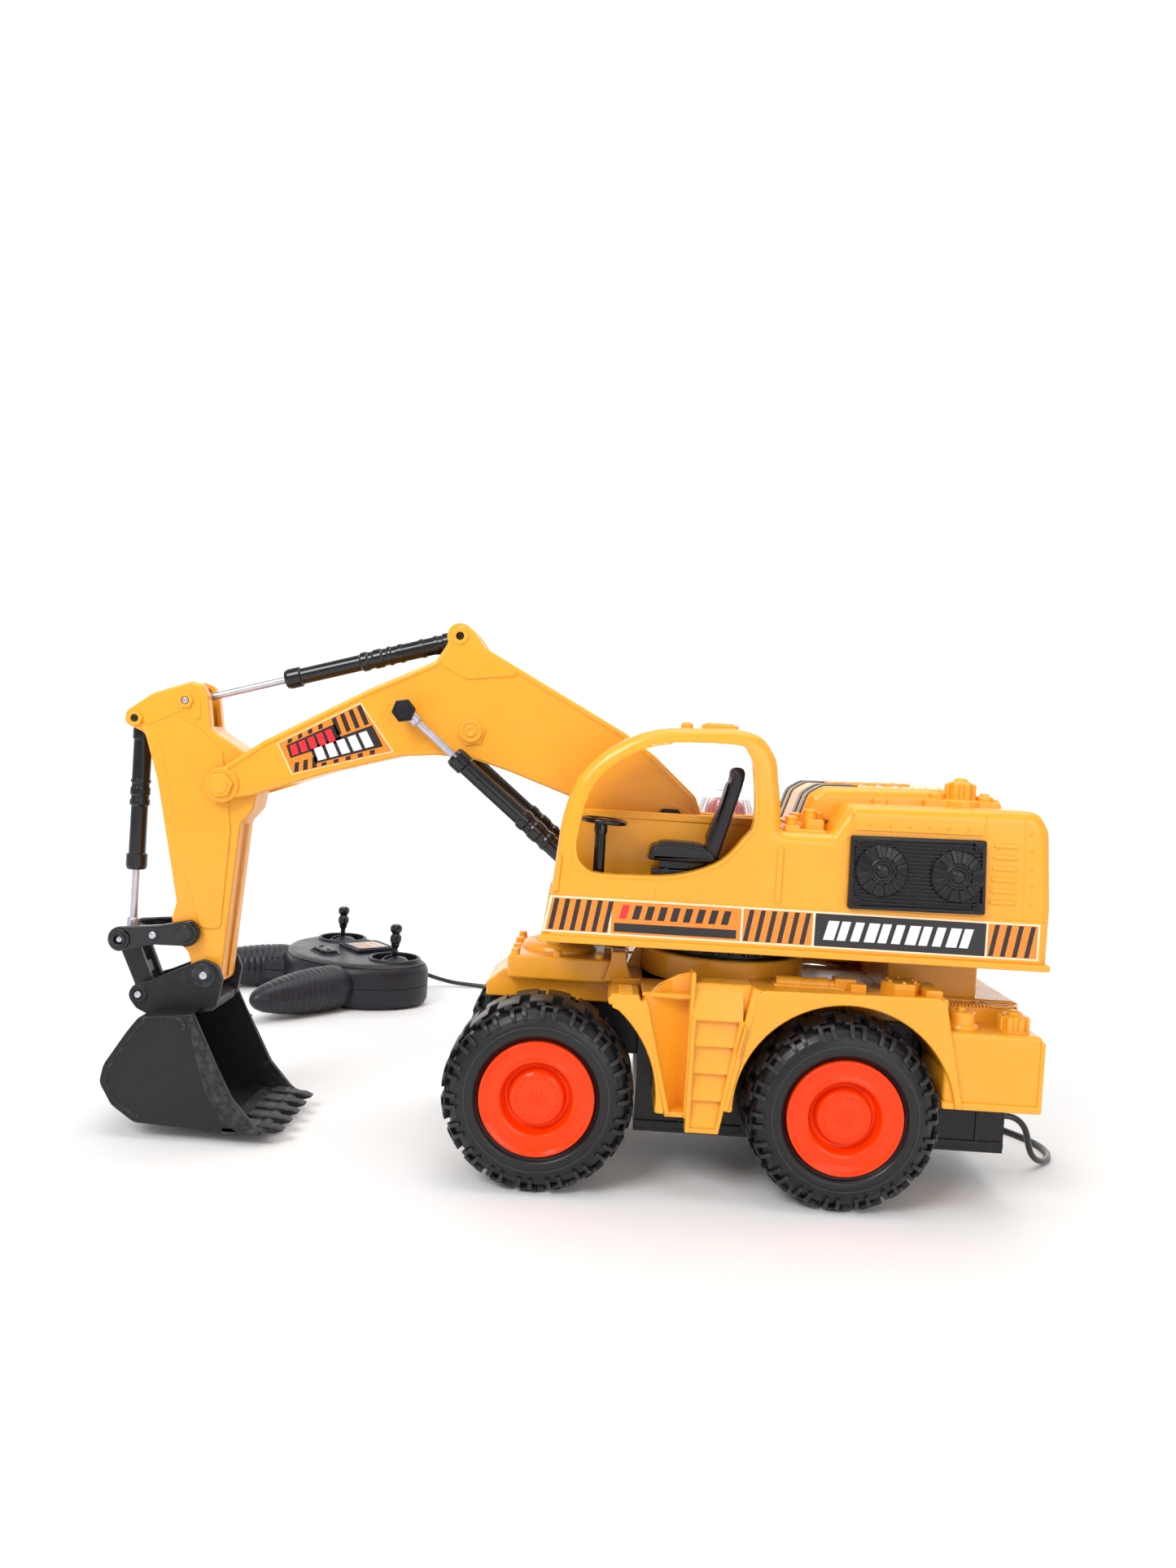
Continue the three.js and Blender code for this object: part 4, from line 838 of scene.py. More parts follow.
def chassis_side():
    s = Solid()
    guard = [[-44, 97], [-57, 97], [-60.5, 93.5]] + FRONT_ARCH + [[-30.5, 42]]
    s.plate(rounded(guard, 1.2), -70, -66.4, 0.9)
    s.plate(FRONT_ARCH + arc(WHEELS["front"], WHEEL_Z, 60.4, -5, 50, 12), -67, -34, 0.4)
    s.box(-61.5, -45, -69.5, -33, 94.2, 98, 1.2)
    pad = [[-62.5, 96], [-45.5, 96], [-46.5, 100], [-59.5, 100]]
    s.plate(rounded(pad, 0.8), -69, -46, 0.8)
    s.box_row(9, (0, 2.1, 0), -56.5, -49.5, -66.6, -65.6, 99.6, 100.5, 0.25)
    s.add(*curved_panel((-31.5, 42), (-45, 97), -21, 68.5, 10.5, 43, lambda u: 97 + 14.5 * u ** 0.72))
    s.plate(rounded([[-45, 97], [-30.5, 42], [-28.2, 42], [-42.6, 98.4]], 0.5), -70, -60, 0.5)
    s.box(-31, -20, -68.6, -56, 40.6, 43.2, 0.6)
    s.box(-21.6, -19.2, -71, -56, 40.6, 113, 0.9)
    s.plate(rounded([[-45.4, 96.4], [-20, 96.4], [-20, 111.5], [-27, 109.6], [-36, 104.6]], 0.5), -60,
            -57.6, 0.4)
    # ladder: a channel with four sloping treads between two rails
    s.plate(rounded([[-20, 36], [-6, 36], [8.6, 107], [-20.4, 107]], 1), -67.4, -62, 0.4)
    s.plate(rounded([[-20.6, 34.6], [-18.2, 34.6], [-18.2, 90.4], [-20.6, 90.4]], 0.5), -72.4, -64, 0.6)
    s.plate(rounded([[-6.4, 34.6], [-4.2, 34.6], [5.6, 90.6], [2.8, 90.6]], 0.5), -72.4, -64, 0.6)
    s.box(-20, -5, -72.2, -66, 34.6, 37, 0.6)
    for k in range(4):
        low, high = 37 + 13.4 * k, 37 + 13.4 * (k + 1)
        right = -5.4 + (low - 36) * 0.16
        tread = [[-66, low], [-71, low], [-71, low + 0.8], [-68.4, high], [-66, high]]
        s.plate(rounded(tread, 0.25), -18.6, right + 1.6, 0.2, "X")
    s.plate(rounded([[-66, 90], [-72, 90], [-72, 91.2], [-66.4, 107.4], [-64, 107.4]], 0.5), -20, 4.6, 0.4,
            "X")
    s.box(-21, 9, -66.4, -52, 104.6, 107.6, 0.9)
    s.plate(rounded([[-3.4, 46], [0.4, 46], [12.6, 106.4], [8.6, 107.6]], 0.5), -72, -60, 0.6)
    # rear fender with its arch
    fender = [[-1.6, 45.6]] + REAR_ARCH + [[113.6, 54], [102.6, 105.6], [99, 108], [14, 106.4], [10.4, 104]]
    s.plate(rounded(fender, 1.0, 2), -72, -68.6, 1.1, steps=3)
    s.plate(REAR_ARCH + arc(WHEELS["rear"], WHEEL_Z, 56.2, 7, 182, 40), -69, -34, 0.4)
    s.box(9.6, 102, -71.4, -33, 103.4, 106.2, 1.3)
    s.box(100.4, 103.4, -71, -44, 92, 107.4, 0.8)
    # pipe with its flanges, hexagonal cap, box
    pipe = Matrix.Translation((22, -52, 107.4)) @ Matrix.Rotation(math.pi / 2, 4, "Y")
    tube = [(0, 0), (3.4, 0), (3.4, 12), (3.0, 12.4), (3.0, 20), (3.4, 20.4), (3.4, 26), (2.8, 26.4),
            (2.8, 32), (0, 32)]
    s.lathe(soften(tube, 0.3, 2), pipe, 28)
    s.box(20.5, 56, -56.5, -47.5, 105.6, 107.2, 0.5)
    s.box(51, 62, -55.4, -46, 106, 111.4, 0.8)
    s.box(58, 66, -60, -52, 105.6, 110, 0.7)
    s.plate(rounded(circle(84, -54, 10, 6), 0.6), 105.4, 112, 0.7, "Z")
    dome_ring(s, 84, -54, 7.2, 6, 1.1, 1.2, 112, Matrix(), 0.5)
    s.box(93.6, 102, -66, -44, 105.4, 110.4, 0.9)
    # rear block and its caps
    s.plate(rectangle(104, 151, 56, 91.6, 2.6, 4), -69.6, -30, 2.2, steps=3)
    s.box(103.4, 152, -70.4, -40, 53.6, 57.4, 1.0)
    s.box(149.6, 152, -70.2, -40, 54, 89, 0.9)
    round_cap = [(0, 90.6), (8.6, 90.6), (8.8, 92.4), (8.2, 93.6), (7, 94.2), (6.8, 99.2), (6, 100),
                 (2.2, 100), (1.9, 101.6), (0, 102)]
    s.lathe(soften(round_cap, 0.5, 3), upright(114, -57.5), 40)
    dome_ring(s, 114, -57.5, 4.4, 6, 0.7, 0.6, 100, Matrix())
    ribbed_cap(s, 140, -57.5, 91, 6.6, 8)
    s.box_row(24, (1.8, 0, 0), 104, 105, -44.6, -42, 98.8, 100.2, 0.2)
    return s


def ribbed_cap(s, x, y, z, radius, height):
    """Filler cap with upright ribs and a domed top."""
    body = [(0, z), (radius + 1.2, z), (radius + 1.2, z + 1.2), (radius - 0.4, z + 1.6),
            (radius - 0.4, z + height), (radius - 1.4, z + height + 0.6), (radius * 0.62, z + height + 0.8),
            (radius * 0.5, z + height + 2), (radius * 0.3, z + height + 2.6), (0, z + height + 2.8)]
    s.lathe(soften(body, 0.4, 3), upright(x, y), 40)
    rib = Solid().box(radius - 1.6, radius + 1.1, -1.5, 1.5, z + 0.4, z + height - 0.2, 0.7)
    s.around(rib, 8, upright(x, y), 0.25)


def chassis_middle():
    s = Solid()
    s.box(-60, 149, -34.4, 34.4, 86.5, 101, 1.2)
    s.box(-45, 11, -66, 66, 98.4, 101, 0.9)
    apron = [[-126, 84.4], [-58, 84.4], [-58, 99], [-117.5, 99], [-126, 91.5]]
    s.plate(rounded(apron, 1.2), -22, 22, 1.2)
    s.plate(rectangle(-114.6, -57.4, 96, 108.6, 1.6, 3), -30, 30, 1.6)
    hatch = [(0, 108), (20.5, 108), (20.3, 109.4), (19.4, 111), (17.6, 112.2), (15.8, 112.7), (15.2, 112.3),
             (14.4, 112.5), (6, 113), (5.6, 112.7), (0, 112.8)]
    s.lathe(soften(hatch, 0.5, 3), upright(-89, 0), 64)
    for k in range(12):
        turn = upright(-89, 0) @ spin(k, 12)
        ray = Solid().box(6.6, 13.4, -0.4 if k % 3 else -0.7, 0.4 if k % 3 else 0.7, 112.2, 113.1, 0.2)
        s.join(ray.moved(turn))
    for x in (-111, -89, -67):
        for y in (-26.6, 26.6):
            post = [(0, 108), (2.4, 108), (2.3, 111), (1.8, 111.5), (0, 111.6)]
            s.lathe(soften(post, 0.3, 2), upright(x, y), 20)
    for y in (-10, 10):
        s.box(-113.6, -109.6, y - 2.2, y + 2.2, 108, 111, 0.6)
        s.box(-64.4, -59.6, y - 2.2, y + 2.2, 108, 111.4, 0.6)
    for side in (-1, 1):
        post = [[-64.5, 98], [-49.5, 98], [-52.6, 108.6], [-53, 114], [-60.6, 114], [-61, 108.6]]
        s.plate(rounded(post, 0.8), side * 28.5 - 5, side * 28.5 + 5, 0.8)
    collar = [(38.5, 96.6), (44.4, 96.6), (44, 99), (44, 113.6), (43.2, 114.5), (39.3, 114.5),
              (38.5, 113.7)]
    s.lathe(soften(collar, 0.6, 3), Matrix(), 96)
    s.plate(rounded([[-52, 99.6], [-42, 99.6], [-42, 114.5], [-46.6, 113]], 0.6), -1.4, 1.4, 0.5)
    s.box(83, 130, -30, 30, 99.6, 120, 1.8)
    s.plate(rectangle(103, 147.4, 90.6, 99.6, 1.4, 3), -44, 44, 1.4)
    s.plate(rectangle(104, 151, 56, 91.6, 2.6, 4), -32, 32, 0.4)
    for r in (7, 11.5):
        ring = [(r - 0.4, 99.3), (r + 0.4, 99.3), (r + 0.4, 100.1), (r - 0.4, 100.1)]
        s.lathe(ring, upright(138, -33), 40)
    return s


def grab_handle():
    s = Solid()
    s.plate(rounded([[2.0, 74], [3.4, 74], [6.6, 88.6], [5, 88.6]], 0.5), -74.6, -73.2, 0.55, steps=3)
    s.plate(rounded([[2.1, 74], [3.9, 74], [4.2, 75.8], [2.5, 75.8]], 0.4), -74.4, -70, 0.4)
    s.plate(rounded([[4.6, 86.6], [6.2, 86.6], [6.6, 88.6], [5, 88.6]], 0.4), -74.4, -70, 0.4)
    return s


def screw(s, frame_at, radius=2.4):
    """Pan-head cross screw standing on the frame's plane."""
    head = [(0, -0.3), (radius, -0.3), (radius, 0.35), (radius * 0.75, 1.05), (0, 1.3)]
    s.lathe(soften(head, 0.3, 3), frame_at, 24)


def cross_recess(cuts, frame_at, radius=2.4):
    a, b = radius * 0.62, radius * 0.15
    outline = [[a, -b], [a, b], [b, b], [b, a], [-b, a], [-b, b], [-a, b], [-a, -b], [-b, -b], [-b, -a],
               [b, -a], [b, -b]]
    plus = Solid().plate(outline, 0.5, 3, 0, "Z")
    cuts.join(plus.moved(frame_at @ Matrix.Rotation(0.4, 4, "Z")))


def screws(name, places, body, material, matrix=HOUSE, radius=2.4):
    s, cuts = Solid(), Solid()
    for frame_at in places:
        screw(s, frame_at, radius)
        cross_recess(cuts, frame_at, radius)
    piece(name, s, material, body, matrix, cuts=cuts, slot="silver")


def outward(x, z, side, y=0):
    """Frame at a point whose Z looks away from the middle, to the given side."""
    return facing(x, y, z, "-Y" if side < 0 else "+Y")


def facing(x, y, z, axis):
    """Frame at a point whose Z looks along axis: -Y, +Y or -Z."""
    turn = {"-Y": Matrix.Rotation(math.pi / 2, 4, "X"), "+Y": Matrix.Rotation(-math.pi / 2, 4, "X"),
            "-Z": Matrix.Rotation(math.pi, 4, "X")}[axis]
    return Matrix.Translation((x, y, z)) @ turn


def chassis():
    piece("chassis_moulding", chassis_middle(), YELLOW, "chassis",
          replaces=["chassis_deck"])
    piece("chassis_sides", chassis_side().both(), YELLOW, "chassis")
    piece("grab_handles", grab_handle().both(), YELLOW, "chassis")
    ribs = Solid()
    for x in (-20, 20, 100, 135):
        ribs.box(x - 1.2, x + 1.2, -31.2, -30, 22, 84, 0.4)
    ribs.box(96, 149, -31.6, -30, 22, 26, 0.5)
    ribs.box(-44, 12, -31.6, -30, 22, 26, 0.5)
    ribs.both()
    for y in (-20, 0, 20):
        ribs.box(148.4, 150, y - 1.5, y + 1.5, 40, 84, 0.4)
    piece("undertray_ribs", ribs, BLACK, "chassis")
    screws("undertray_screws", [facing(x, y, 20, "-Z") for x in (-38, 40, 84, 142) for y in (-25, 25)],
           "chassis", STEEL)
    screws("bottom_cover_screws", [facing(x, y, 20, "-Z") for x in (-25, 25) for y in (-16, 16)], "chassis",
           STEEL, radius=2)
    relief = [(0, 0), (4.2, 0), (4.4, 0.5), (4.4, 1.8), (3.4, 2.2)]
    for k in range(4):
        t = 2.4 + 1.75 * k
        r = 3.3 - 0.22 * k
        relief += [(r, t), (r, t + 1.0), (r - 0.6, t + 1.15), (r - 0.6, t + 1.6)]
    relief += [(2.3, 9.6), (0, 9.7)]
    turn = Matrix.Translation((149.4, 0, 30.5)) @ Matrix.Rotation(math.pi / 2, 4, "Y")
    piece("cord_grommet", Solid().lathe(soften(relief, 0.15, 2), turn, 40), CORD_BLACK, "chassis",
          replaces=["strain_relief"])


wheels()
chassis()


# ---- house -------------------------------------------------------------------------------
CAB = [
    [22, 123.4], [22, 184], [18, 184], [17, 197], [14, 219], [7, 229], [-4, 232.6], [-42, 231], [-56, 227],
    [-69, 219], [-80, 209], [-86, 198], [-89.7, 182], [-91.6, 160], [-93.3, 141], [-97.4, 123.4]]
WINDOW = [
    [-22.8, 161.8], [-9.7, 168.2], [-0.4, 179], [4.6, 188], [2.5, 214], [-0.5, 221.5], [-6.5, 225],
    [-40.5, 224], [-53.7, 219.3], [-65.2, 212.7], [-76.3, 198.5], [-81.1, 177.8], [-81.3, 167.4],
    [-77.3, 160.9], [-68.7, 157.8], [-39.7, 158.4]]
HOOD = [
    [151, 123.4], [151, 154], [148, 192], [143, 199.5], [138, 200.8], [51, 199], [42, 184], [18, 184],
    [18, 123.4]]
BULGE = [[120, 195], [118, 203], [112, 208.5], [42, 206.5], [35, 202], [29, 184], [45, 182]]
FAR = [[22, 123.4], [22, 184], [-78, 184], [-88, 172], [-97.4, 123.4]]
HALF, SLOT, WALL = 68, 32, 2.6
HOOD_RADII = [0, 8, 10, 5, 6, 4, 2, 0, 0]
BULGE_RADII = [1, 6, 5, 6, 6, 2, 1]
CAB_RADII = [0.5, 0.5, 1.5, 30, 14, 12, 20, 30, 30, 30, 30, 40, 40, 40, 20, 0.8]


def smooth_cab():
    return rounded(CAB, CAB_RADII, 5)


def window_line():
    return smooth_loop(WINDOW, 3)


def hood_line():
    return rounded(HOOD, HOOD_RADII, 4)


def near_line():
    """Cab and hood in one line, for the driver's side."""
    return hood_line()[:-2] + [p for p in smooth_cab() if p[0] < 19.6]


def far_line():
    return hood_line()[:-2] + rounded(FAR, [0.5, 4, 8, 8, 0.8], 5)[3:]


def house_walls():
    """The three slabs of the moulded house, each with what is cut from it."""
    near, middle, far = Solid(), Solid(), Solid()
    near.plate(near_line(), -HALF, -SLOT, steps=4, fillets=(5.5, 0))
    middle.plate(hood_line(), -SLOT, SLOT, 0)
    far.plate(far_line(), SLOT, HALF, steps=4, fillets=(0, 5))
    room, window, inside, front = Solid(), Solid(), Solid(), Solid()
    room.plate(below(inset(near_line(), WALL)), -HALF + WALL, -SLOT - WALL, 0)
    window.plate(window_line(), -HALF - 5, -HALF + WALL + 3, 0)
    arch = [p for p in inset(smooth_cab(), 6.5) if p[1] > 190]
    inner = [[arch[-1][0], 186.6], [arch[0][0], 186.6]] + arch
    inside.plate(inner, -SLOT - 6, -SLOT + 3, 0)
    front.plate(rounded([[-63, 168], [-38, 168], [-38, 206], [-61, 206]], 3), -100, -74, 0, "X")
    centre = Solid().plate(below(inset(HOOD, WALL)), -SLOT + WALL, SLOT - WALL, 0)
    back = Solid().plate(below(inset(far_line(), WALL)), SLOT + WALL, HALF - WALL, 0)
    return ((near, [room, window, inside, front]), (middle, [centre]), (far, [back]))


def sill_and_bulge():
    s = Solid()
    s.plate(rounded(BULGE, BULGE_RADII, 5), -42, 42, 6, steps=5)
    sill = [[-91, 123.4], [-91.3, 148], [-94.4, 148], [-97.4, 123.4]]
    s.plate(rounded(sill, 0.8), -SLOT - 2, SLOT + 2, 0.5)
    return s


def below(points):
    """The room's line carried down through the open foot of the house."""
    return [[x, z if z > 134 else 118] for x, z in points]


def bead_lines():
    """Fine raised lines on the side walls."""
    front = [p for p in inset(smooth_cab(), 7.6) if p[1] > 147.5 and p[0] < -34]
    return [
        front, [[-90, 147.4], [-20, 147.4], [52, 147.4]], [[-42, 147.6], [-42, 154.5]],
        [[52.4, 147.9], [52.5, 165], [51.4, 196]], [[117.6, 148], [117.4, 170], [116, 197]],
        [[136.6, 148], [136.4, 170], [134.8, 197]], [[52.6, 147.6], [90, 147.8], [149, 148.2]]]


def at_side(s, side, points, y0, y1, fillet=0.5, **more):
    """A plate between two distances from the middle, on one side."""
    low, high = sorted((side * y0, side * y1))
    if side < 0 and "fillets" in more:
        more["fillets"] = more["fillets"][::-1]
    return s.plate(points, low, high, fillet, **more)


def rivet(s, x, z, y, side, r=0.85, h=0.55):
    dome(s, 0, 0, r, h, 0, outward(x, z, side, y * side), 12)


def house_details():
    s = Solid()
    # raised frame of the window, and the glossy strip under the hood's top edge
    outer, inner = inset(window_line(), -1.5), inset(window_line(), 0.3)
    s.plate(outer, -HALF - 0.35, -HALF + 7.2, 0.35, holes=[inner])
    s.box(16.4, 19.4, -HALF - 1.1, -HALF + 1, 149, 176, 0.7)
    for line in bead_lines():
        s.plate(ribbon(line, 0.8), -HALF - 0.22, -HALF + 0.3, steps=2, fillets=(0.18, 0))
        if line[0][0] > 50:
            s.plate(ribbon(line, 0.8), HALF - 0.3, HALF + 0.22, steps=2, fillets=(0, 0.18))
    s.plate(rounded([[-91.4, 148.4], [-89, 148.4], [-88.2, 166], [-90.2, 166]], 0.4), -HALF - 0.4,
            -HALF + 1, 0.3)
    for side in (-1, 1):
        strip = rounded([[53, 186.8], [115.6, 187.6], [115.2, 193.4], [53.6, 192.6]], 1.2)
        at_side(s, side, strip, HALF - 0.6, HALF + 0.45, 0.35)
        for k in range(6):
            rivet(s, 60.4 + 9.4 * k, 190.0 + 0.1 * k, HALF + 0.4, side)
        for k in range(6):
            z = 155.9 + 5.48 * k
            bar = rectangle(119.9 + 0.1 * k, 132.9 - 0.1 * k, z - 1.15, z + 1.15, 1.1, 4)
            at_side(s, side, bar, HALF - 1, HALF + 0.9, 0.8, steps=3)
        for k in range(5):
            rivet(s, 140 - 0.5 * k, 156 + 8.5 * k, HALF - 0.05, side, 0.95, 0.7)
        for x, z in ((52, 196.2), (45.4, 186.6)):
            rivet(s, x + 4, z - 4, HALF - 0.1, side, 0.7, 0.4)
    # lip round the foot of the house
    lip = [[-98, 123.2], [151.6, 123.2], [151.6, 126.6], [-97.2, 126.6]]
    for side in (-1, 1):
        at_side(s, side, rounded(lip, 0.8), HALF - 3, HALF + 0.8, 0.7)
    s.box(149, 151.8, -HALF - 0.6, HALF + 0.6, 123.2, 126.6, 0.8)
    # roof nub and plate
    nub = [(0, 229), (3.2, 229), (3.1, 233.2), (2.4, 234.4), (0, 234.8)]
    s.lathe(soften(nub, 0.6, 3), upright(-30, -50), 24)
    s.box(-23, -5, -58, -42, 230.6, 234.2, 0.7)
    s.box(-21, -7, -56, -44, 233.6, 234.9, 0.5)
    # engine caps at the rear and the front cluster
    ribbed_cap(s, 111, -40, 200, 6.8, 12)
    s.lathe(soften([(0, 198), (10.4, 198), (10.2, 203), (9, 203.8), (0, 204)], 0.6, 3), upright(111, -40),
            40)
    for x, z, r in ((99, 207, 4.4), (123.4, 206.4, 4.6), (129.6, 203.6, 2.4)):
        cap = [(0, 196), (r, 196), (r, z - 1.4), (r - 0.7, z - 0.4), (r * 0.55, z), (r * 0.5, z + 0.9),
               (0, z + 1.3)]
        s.lathe(soften(cap, 0.5, 3), upright(x, -40), 28)
    s.box(92, 130, -46, -34, 196, 203.4, 1.0)
    for x, y, w, d, z in ((36, -50, 9, 12, 190), (28, -46, 7, 10, 188.4), (24, -58, 8, 6, 187)):
        s.box(x - w / 2, x + w / 2, y - d / 2, y + d / 2, 183, z, 0.9)
    for x, y, r, z in ((33.6, -52, 3.0, 195), (27, -48, 2.4, 192.6), (38.4, -46, 2.6, 193.6),
                       (23.4, -57.6, 2.6, 191.4)):
        post = [(0, 183), (r, 183), (r, z - 1.6), (r + 0.5, z - 1.4), (r + 0.5, z - 0.3), (r - 0.4, z),
                (0, z + 0.3)]
        s.lathe(soften(post, 0.3, 2), upright(x, y), 24)
    s.box(20.5, 40.5, -62, -42, 182.8, 185.2, 0.7)
    # bulge: hinges and a row of small studs
    for x in (70, 100):
        s.box(x - 3.6, x + 3.6, -44.4, -40.6, 197.4, 202, 0.9)
    for k in range(9):
        dome(s, 50 + 6.6 * k, -30, 0.8, 0.6, 206.6 + 0.19 * k, Matrix())
        dome(s, 50 + 6.6 * k, 30, 0.8, 0.6, 206.6 + 0.19 * k, Matrix())
    s.box_row(5, (9, 0, 0.25), 52, 57, -12, 12, 206.2, 208.4, 0.5)
    # rail on the inner wall of the cab and the bulkhead behind the seat
    s.box(-84, 16, -SLOT - 3.4, -SLOT + 0.4, 183.4, 187.6, 0.8)
    s.box(-84, 16, -SLOT - 2.2, -SLOT + 0.2, 180.6, 184.4, 0.5)
    s.box(-84, 16, -SLOT - 2.8, -SLOT - 0.2, 131.6, 182, 0.3)
    s.box(13.6, 16.6, -HALF + 3, -SLOT - 1, 131.6, 190, 0.5)
    # dome socket on the far deck
    socket = [(15.6, 183), (19.4, 183), (19.2, 184.9), (18.4, 185.5), (17.4, 185.4), (17.3, 183.4)]
    s.lathe(soften(socket, 0.3, 2), upright(2, 46), 56)
    s.box(-70, -24, 40, 60, 183.2, 184.9, 0.7)
    s.box_row(6, (7, 0, 0), -66, -62.4, 43, 57, 184.2, 185.8, 0.5)
    return s


def rear_wall_x(z):
    """The rear wall leans in above its lower edge."""
    return 151 - 3 * max(0, z - 154) / 38


def rear_panel():
    s = Solid()
    for k in range(7):
        z = 156 + 5 * k
        x = rear_wall_x(z)
        s.box(x - 0.8, x + 0.9, -38, 38, z - 1.1, z + 1.1, 0.7)
    for y in (-48, 48):
        for z in (156, 186):
            turn = upright(rear_wall_x(z) - 0.1, y, z) @ Matrix.Rotation(math.pi / 2, 4, "Y")
            dome(s, 0, 0, 1.6, 0.9, 0, turn, 16)
    return s


def cab_fittings():
    cushion = Solid()
    seat_line = [[-45, 167.5], [-43, 165.4], [-14, 165.4], [-13.4, 170], [-18, 172.6], [-39, 173.4],
                 [-44, 172]]
    cushion.plate(smooth_loop(seat_line, 3), -61, -40, 2.4, steps=4)
    cushion.plate(smooth_loop([[-40, 172], [-20, 171.4], [-20, 174.3], [-38, 174.8]], 3), -57.5, -43.5, 1.2,
                  steps=3)
    cushion.box_row(4, (4.6, 0, 0), -37.5, -36.7, -57, -44, 173.6, 174.9, 0.3)
    back = [[-18.4, 168], [-12.4, 166.4], [-8.4, 178], [-4.2, 194], [-0.8, 207.5], [-3, 212], [-6.2, 211],
            [-8.6, 200], [-12.6, 186], [-16.6, 175]]
    cushion.plate(smooth_loop(back, 3), -60, -41, 2.2, steps=4)
    pad = [[-17.2, 177.5], [-14.4, 176], [-9.4, 194], [-7.4, 204.5], [-8.6, 205], [-11, 195]]
    cushion.plate(smooth_loop(pad, 2), -57, -44, 1.0, steps=3)
    cushion.plate(smooth_loop([[-6.6, 205], [-1, 205.6], [-0.2, 211.6], [-3.2, 213.6], [-7, 212]], 3), -56,
                  -45, 1.8, steps=3)
    piece("seat_cushions", cushion, SATIN_BLACK, "house", replaces=["cab_seat"])
    under = Solid()
    under.box(-44, -14, -60, -41, 157.4, 161.4, 1.0)
    under.box(-40, -17, -57, -44, 161, 166, 0.9)
    under.box(-35, -19, -55, -46, 131.4, 158, 1.2)
    under.box_row(6, (5, 0, 0), -42, -39.4, -60.8, -59.6, 152, 158, 0.4)
    under.box(-43, -12, -60.4, -58.6, 150.6, 153, 0.4)
    for x in (-37, -20):
        under.lathe([(0, -61.6), (2.6, -61.6), (2.6, -40), (0, -40)],
                    Matrix.Translation((x, 0, 159.4)) @ Matrix.Rotation(
            -math.pi / 2, 4, "X"), 20)
    under.box(-12, 10, -56, -42, 131.6, 168, 1.4)
    piece("seat_frame", under, GLOSS_BLACK, "house")
    wheel = Solid()
    column = [(0, 131.4), (4.2, 131.4), (4, 136), (3, 138), (2.8, 176), (3.4, 178), (3.2, 182), (2.2, 184),
              (0, 184.4)]
    wheel.lathe(soften(column, 0.5, 3), upright(-70, -52), 32)
    turn = Matrix.Translation((-68.5, -52, 183)) @ Matrix.Rotation(math.radians(4), 4, "Y")
    ring = [(10.4 + 1.35 * math.cos(a), 1.35 * math.sin(a)) for a in [TURN * k / 12 for k in range(12)]]
    wheel.lathe(ring, turn, 56)
    for k in range(3):
        spoke = Solid().box(1, 10.4, -0.9, 0.9, -0.8, 0.5, 0.4)
        wheel.join(spoke.moved(turn @ Matrix.Rotation(TURN * k / 3 + 0.5, 4, "Z")))
    wheel.lathe(soften([(0, -1.4), (3.6, -1.4), (3.8, 0.2), (2.6, 1.1), (0, 1.3)], 0.3, 2), turn, 28)
    piece("steering_wheel_ring", wheel, GLOSS_BLACK, "house",
          replaces=["cab_steering_wheel"])


def beacon():
    top = 184.3
    lens = [(0, 15.8), (4, 15.5), (8, 14.2), (11.4, 12), (14, 8.8), (15.6, 5), (16.5, 0.6), (17, 0),
            (15.6, 0), (14.8, 0.8), (13.9, 5), (12.4, 8.2), (10, 11), (6.8, 13), (3.4, 14.1), (0, 14.4)]
    place = Matrix.Translation((2, 46, top))
    s = Solid().lathe(soften(lens[::-1], 0.6, 2), place, 64)
    fin = rounded([[14.9, 1.2], [15.9, 1.2], [15.2, 5], [13.2, 9.4], [12.4, 9.2], [14.2, 5]], 0.2)
    s.around(Solid().plate(fin, -0.3, 0.3, 0.15), 28, place)
    piece("beacon_lens", s, CLEAR, "house", replaces=["dome_lens"])
    lamp = [(0, 0), (12, 0), (12.2, 1.2), (11.4, 2), (10.6, 4.6), (8.6, 7.2), (6, 9.2), (2.6, 10.2),
            (0, 10.4)]
    bulb = Solid().lathe(soften(lamp, 0.5, 3), place, 56)
    rib = rounded([[6, 7.6], [11.4, 1], [12.4, 1.2], [10, 6], [6.4, 9.4]], 0.3)
    bulb.around(Solid().plate(rib, -0.5, 0.5, 0.3), 12, place)
    piece("beacon_lamp", bulb, RED, "house", replaces=["dome_lamp"])


